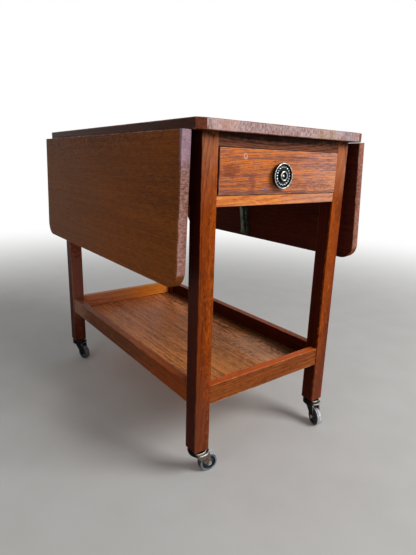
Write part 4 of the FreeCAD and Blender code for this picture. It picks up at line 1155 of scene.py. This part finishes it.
# %% Castor sockets and forks
# painted shade: faces that look this way, away from the light, are painted near black
AWAY_FROM_LIGHT = (-0.8, 0.6, 0.0)
SHADE_ON_CASTORS = (20, 19, 18)
SHADE_ON_METAL = (-0.3, 0.15)    # cosines to that side between which the painted shade thickens
GRIME_LEVELS = (0.40, 0.66)
BORDER = 0.0002         # m, half the height over which one metal turns into the next
PLATE_HEIGHT = 0.0590
CROWN_HEIGHT = 0.0507
corners = ("front_left", "front_right", "rear_left", "rear_right")


def banded_metal(name, levels, rough):
    """Metal banded by height from levels of bright and dark tones, with painted shade on one side.
    """
    finish, tree, shader = start_finish(name)
    place = place_on_piece(tree)
    height = parts_of(tree, place)["Z"]
    share = map_range(tree, noise(tree, place, marks=150.0, detail=4.0), *GRIME_LEVELS)
    (_, bright, dark), *higher = levels
    banded = blend_colour(tree, share, colour(*bright), colour(*dark))
    for start, bright, dark in higher:
        tone = blend_colour(tree, share, colour(*bright), colour(*dark))
        above = map_range(tree, height, start - BORDER, start + BORDER)
        banded = blend_colour(tree, above, banded, tone)
    # painted shade on the side turned away from the light
    dirt = facing(tree, AWAY_FROM_LIGHT, *SHADE_ON_METAL)
    caked = blend_colour(tree, dirt, banded, colour(*SHADE_ON_CASTORS))
    tree.links.new(caked, shader.inputs["Base Color"])
    shader.inputs["Metallic"].default_value = 1.0
    scratched(tree, shader, place, share, rough)
    return finish


race_metal = banded_metal("castor_race", ((0.0, (222, 216, 206), (130, 124, 116)),
                                          (PLATE_HEIGHT, (62, 60, 58), (24, 23, 22))), 0.34)
fork_metal = banded_metal("castor_fork", ((0.0, (136, 120, 112), (98, 84, 76)),
                                          (CROWN_HEIGHT, (196, 190, 182), (112, 106, 98))), 0.40)
put_on("castor_sockets", race_metal)
for corner in corners:
    put_on("castor_fork_" + corner, fork_metal)
    put_on("castor_axle_" + corner, axle_steel)
print("castors finished:", len(corners))

# %% [markdown]
# The wheels are grey rubber. Pale bands round the tread and a lighter ring round the side
# are a painted reflection of the light on the rubber, and the hollow web is painted black, a
# painted shade, as is the side turned from the light. One material could serve all four if
# they stood square, but each wheel trails its own way. So the finish needs the wheel's own
# axle: its joint gives the middle and the direction, and from them follow the distance from
# the axle and the place across the tread.

# %% Wheels
# painted reflection: the pale tread bands and the side ring; painted shade: the black web
TREAD_SHEEN = (colour(128, 138, 152), colour(226, 228, 230))
SIDE_RING_SHEEN = (colour(132, 142, 156), colour(84, 90, 98))
WEB_SHADE = (colour(24, 24, 24), colour(46, 44, 42))
DUST = colour(58, 58, 60)
DUST_LEVELS, DUST_COVER = (0.35, 0.7), 0.3
BAND_LEVELS = (0.35, 0.62)
WEB_ENDS = (0.70, 0.76)         # over the wheel's radius, from the axle outwards
SIDE_ENDS = (0.90, 0.955)
SHADE_ON_RUBBER = (-0.2, 0.25)


def wheel_rubber(corner):
    """Rubber for one wheel, by distance from its axle and place across its tread."""
    finish, tree, shader = start_finish("wheel_rubber_" + corner)
    joint = joints["wheel_spin_" + corner]
    low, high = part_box("castor_wheel_" + corner)
    rim_radius = (high[2] - low[2]) / 2
    place = place_on_piece(tree)
    from_axle = vector_step(tree, "SUBTRACT", place, joint["pos_m"])
    across = vector_step(tree, "DOT_PRODUCT", from_axle, joint["axis"])
    whole = vector_step(tree, "LENGTH", from_axle)
    squares = [math_step(tree, "MULTIPLY", length, length) for length in (whole, across)]
    out = math_step(tree, "SQRT", math_step(tree, "SUBTRACT", *squares))
    out = math_step(tree, "DIVIDE", out, rim_radius)
    bands = map_range(tree, noise_along(tree, across, marks=420.0, detail=2.0), *BAND_LEVELS)
    dusty = map_range(tree, noise(tree, place, marks=130.0, detail=4.0), *DUST_LEVELS)
    inner = blend_colour(tree, map_range(tree, out, *WEB_ENDS), blend_colour(tree, dusty, *WEB_SHADE),
                         blend_colour(tree, dusty, *SIDE_RING_SHEEN))
    rubbed = blend_colour(tree, map_range(tree, out, *SIDE_ENDS), inner,
                          blend_colour(tree, bands, *TREAD_SHEEN))
    dusted = blend_colour(tree, math_step(tree, "MULTIPLY", dusty, DUST_COVER), rubbed, DUST)
    # painted shade on the side turned away from the light
    dirt = facing(tree, AWAY_FROM_LIGHT, *SHADE_ON_RUBBER)
    caked = blend_colour(tree, dirt, dusted, colour(*SHADE_ON_CASTORS))
    tree.links.new(caked, shader.inputs["Base Color"])
    scratched(tree, shader, place, dusty, rough=0.45, depth=0.0002)
    put_on("castor_wheel_" + corner, finish)
    return rim_radius


rim_radii = [wheel_rubber(corner) for corner in corners]
print("wheel radii:", [round(radius, 4) for radius in rim_radii])

# %% [markdown]
# One castor, at the rear on the left, is caked with grease and dust all over, so its fork,
# its axle and its plate are almost black and its tyre is dull. New materials for all its
# pieces would be the plain way, but its plate comes as one with the other three. So the fork
# and the axle get a metal of their own, and a dark patch is laid over the tyre and over that
# corner's plate.

# %% The dirtiest castor
dirty_metal = banded_metal("castor_dirt", ((0.0, (40, 38, 36), (22, 21, 20)),
                                           (CROWN_HEIGHT, (62, 62, 62), (30, 30, 30))), 0.55)
for piece in ("castor_fork_rear_left", "castor_axle_rear_left"):
    put_on(piece, dirty_metal)
blot("castor_wheel_rear_left", (0.0, 0.0, 0.0), (0.0, 0.0, 0.0), (34, 37, 40), 0.86)
kingpin = joints["castor_swivel_rear_left"]["pos_m"]
blot("castor_sockets", (kingpin[0], kingpin[1], 0.0), (0.1, 0.1, 0.0), (24, 24, 24), 0.95)
print("marks and flecks in all:", len(marked))
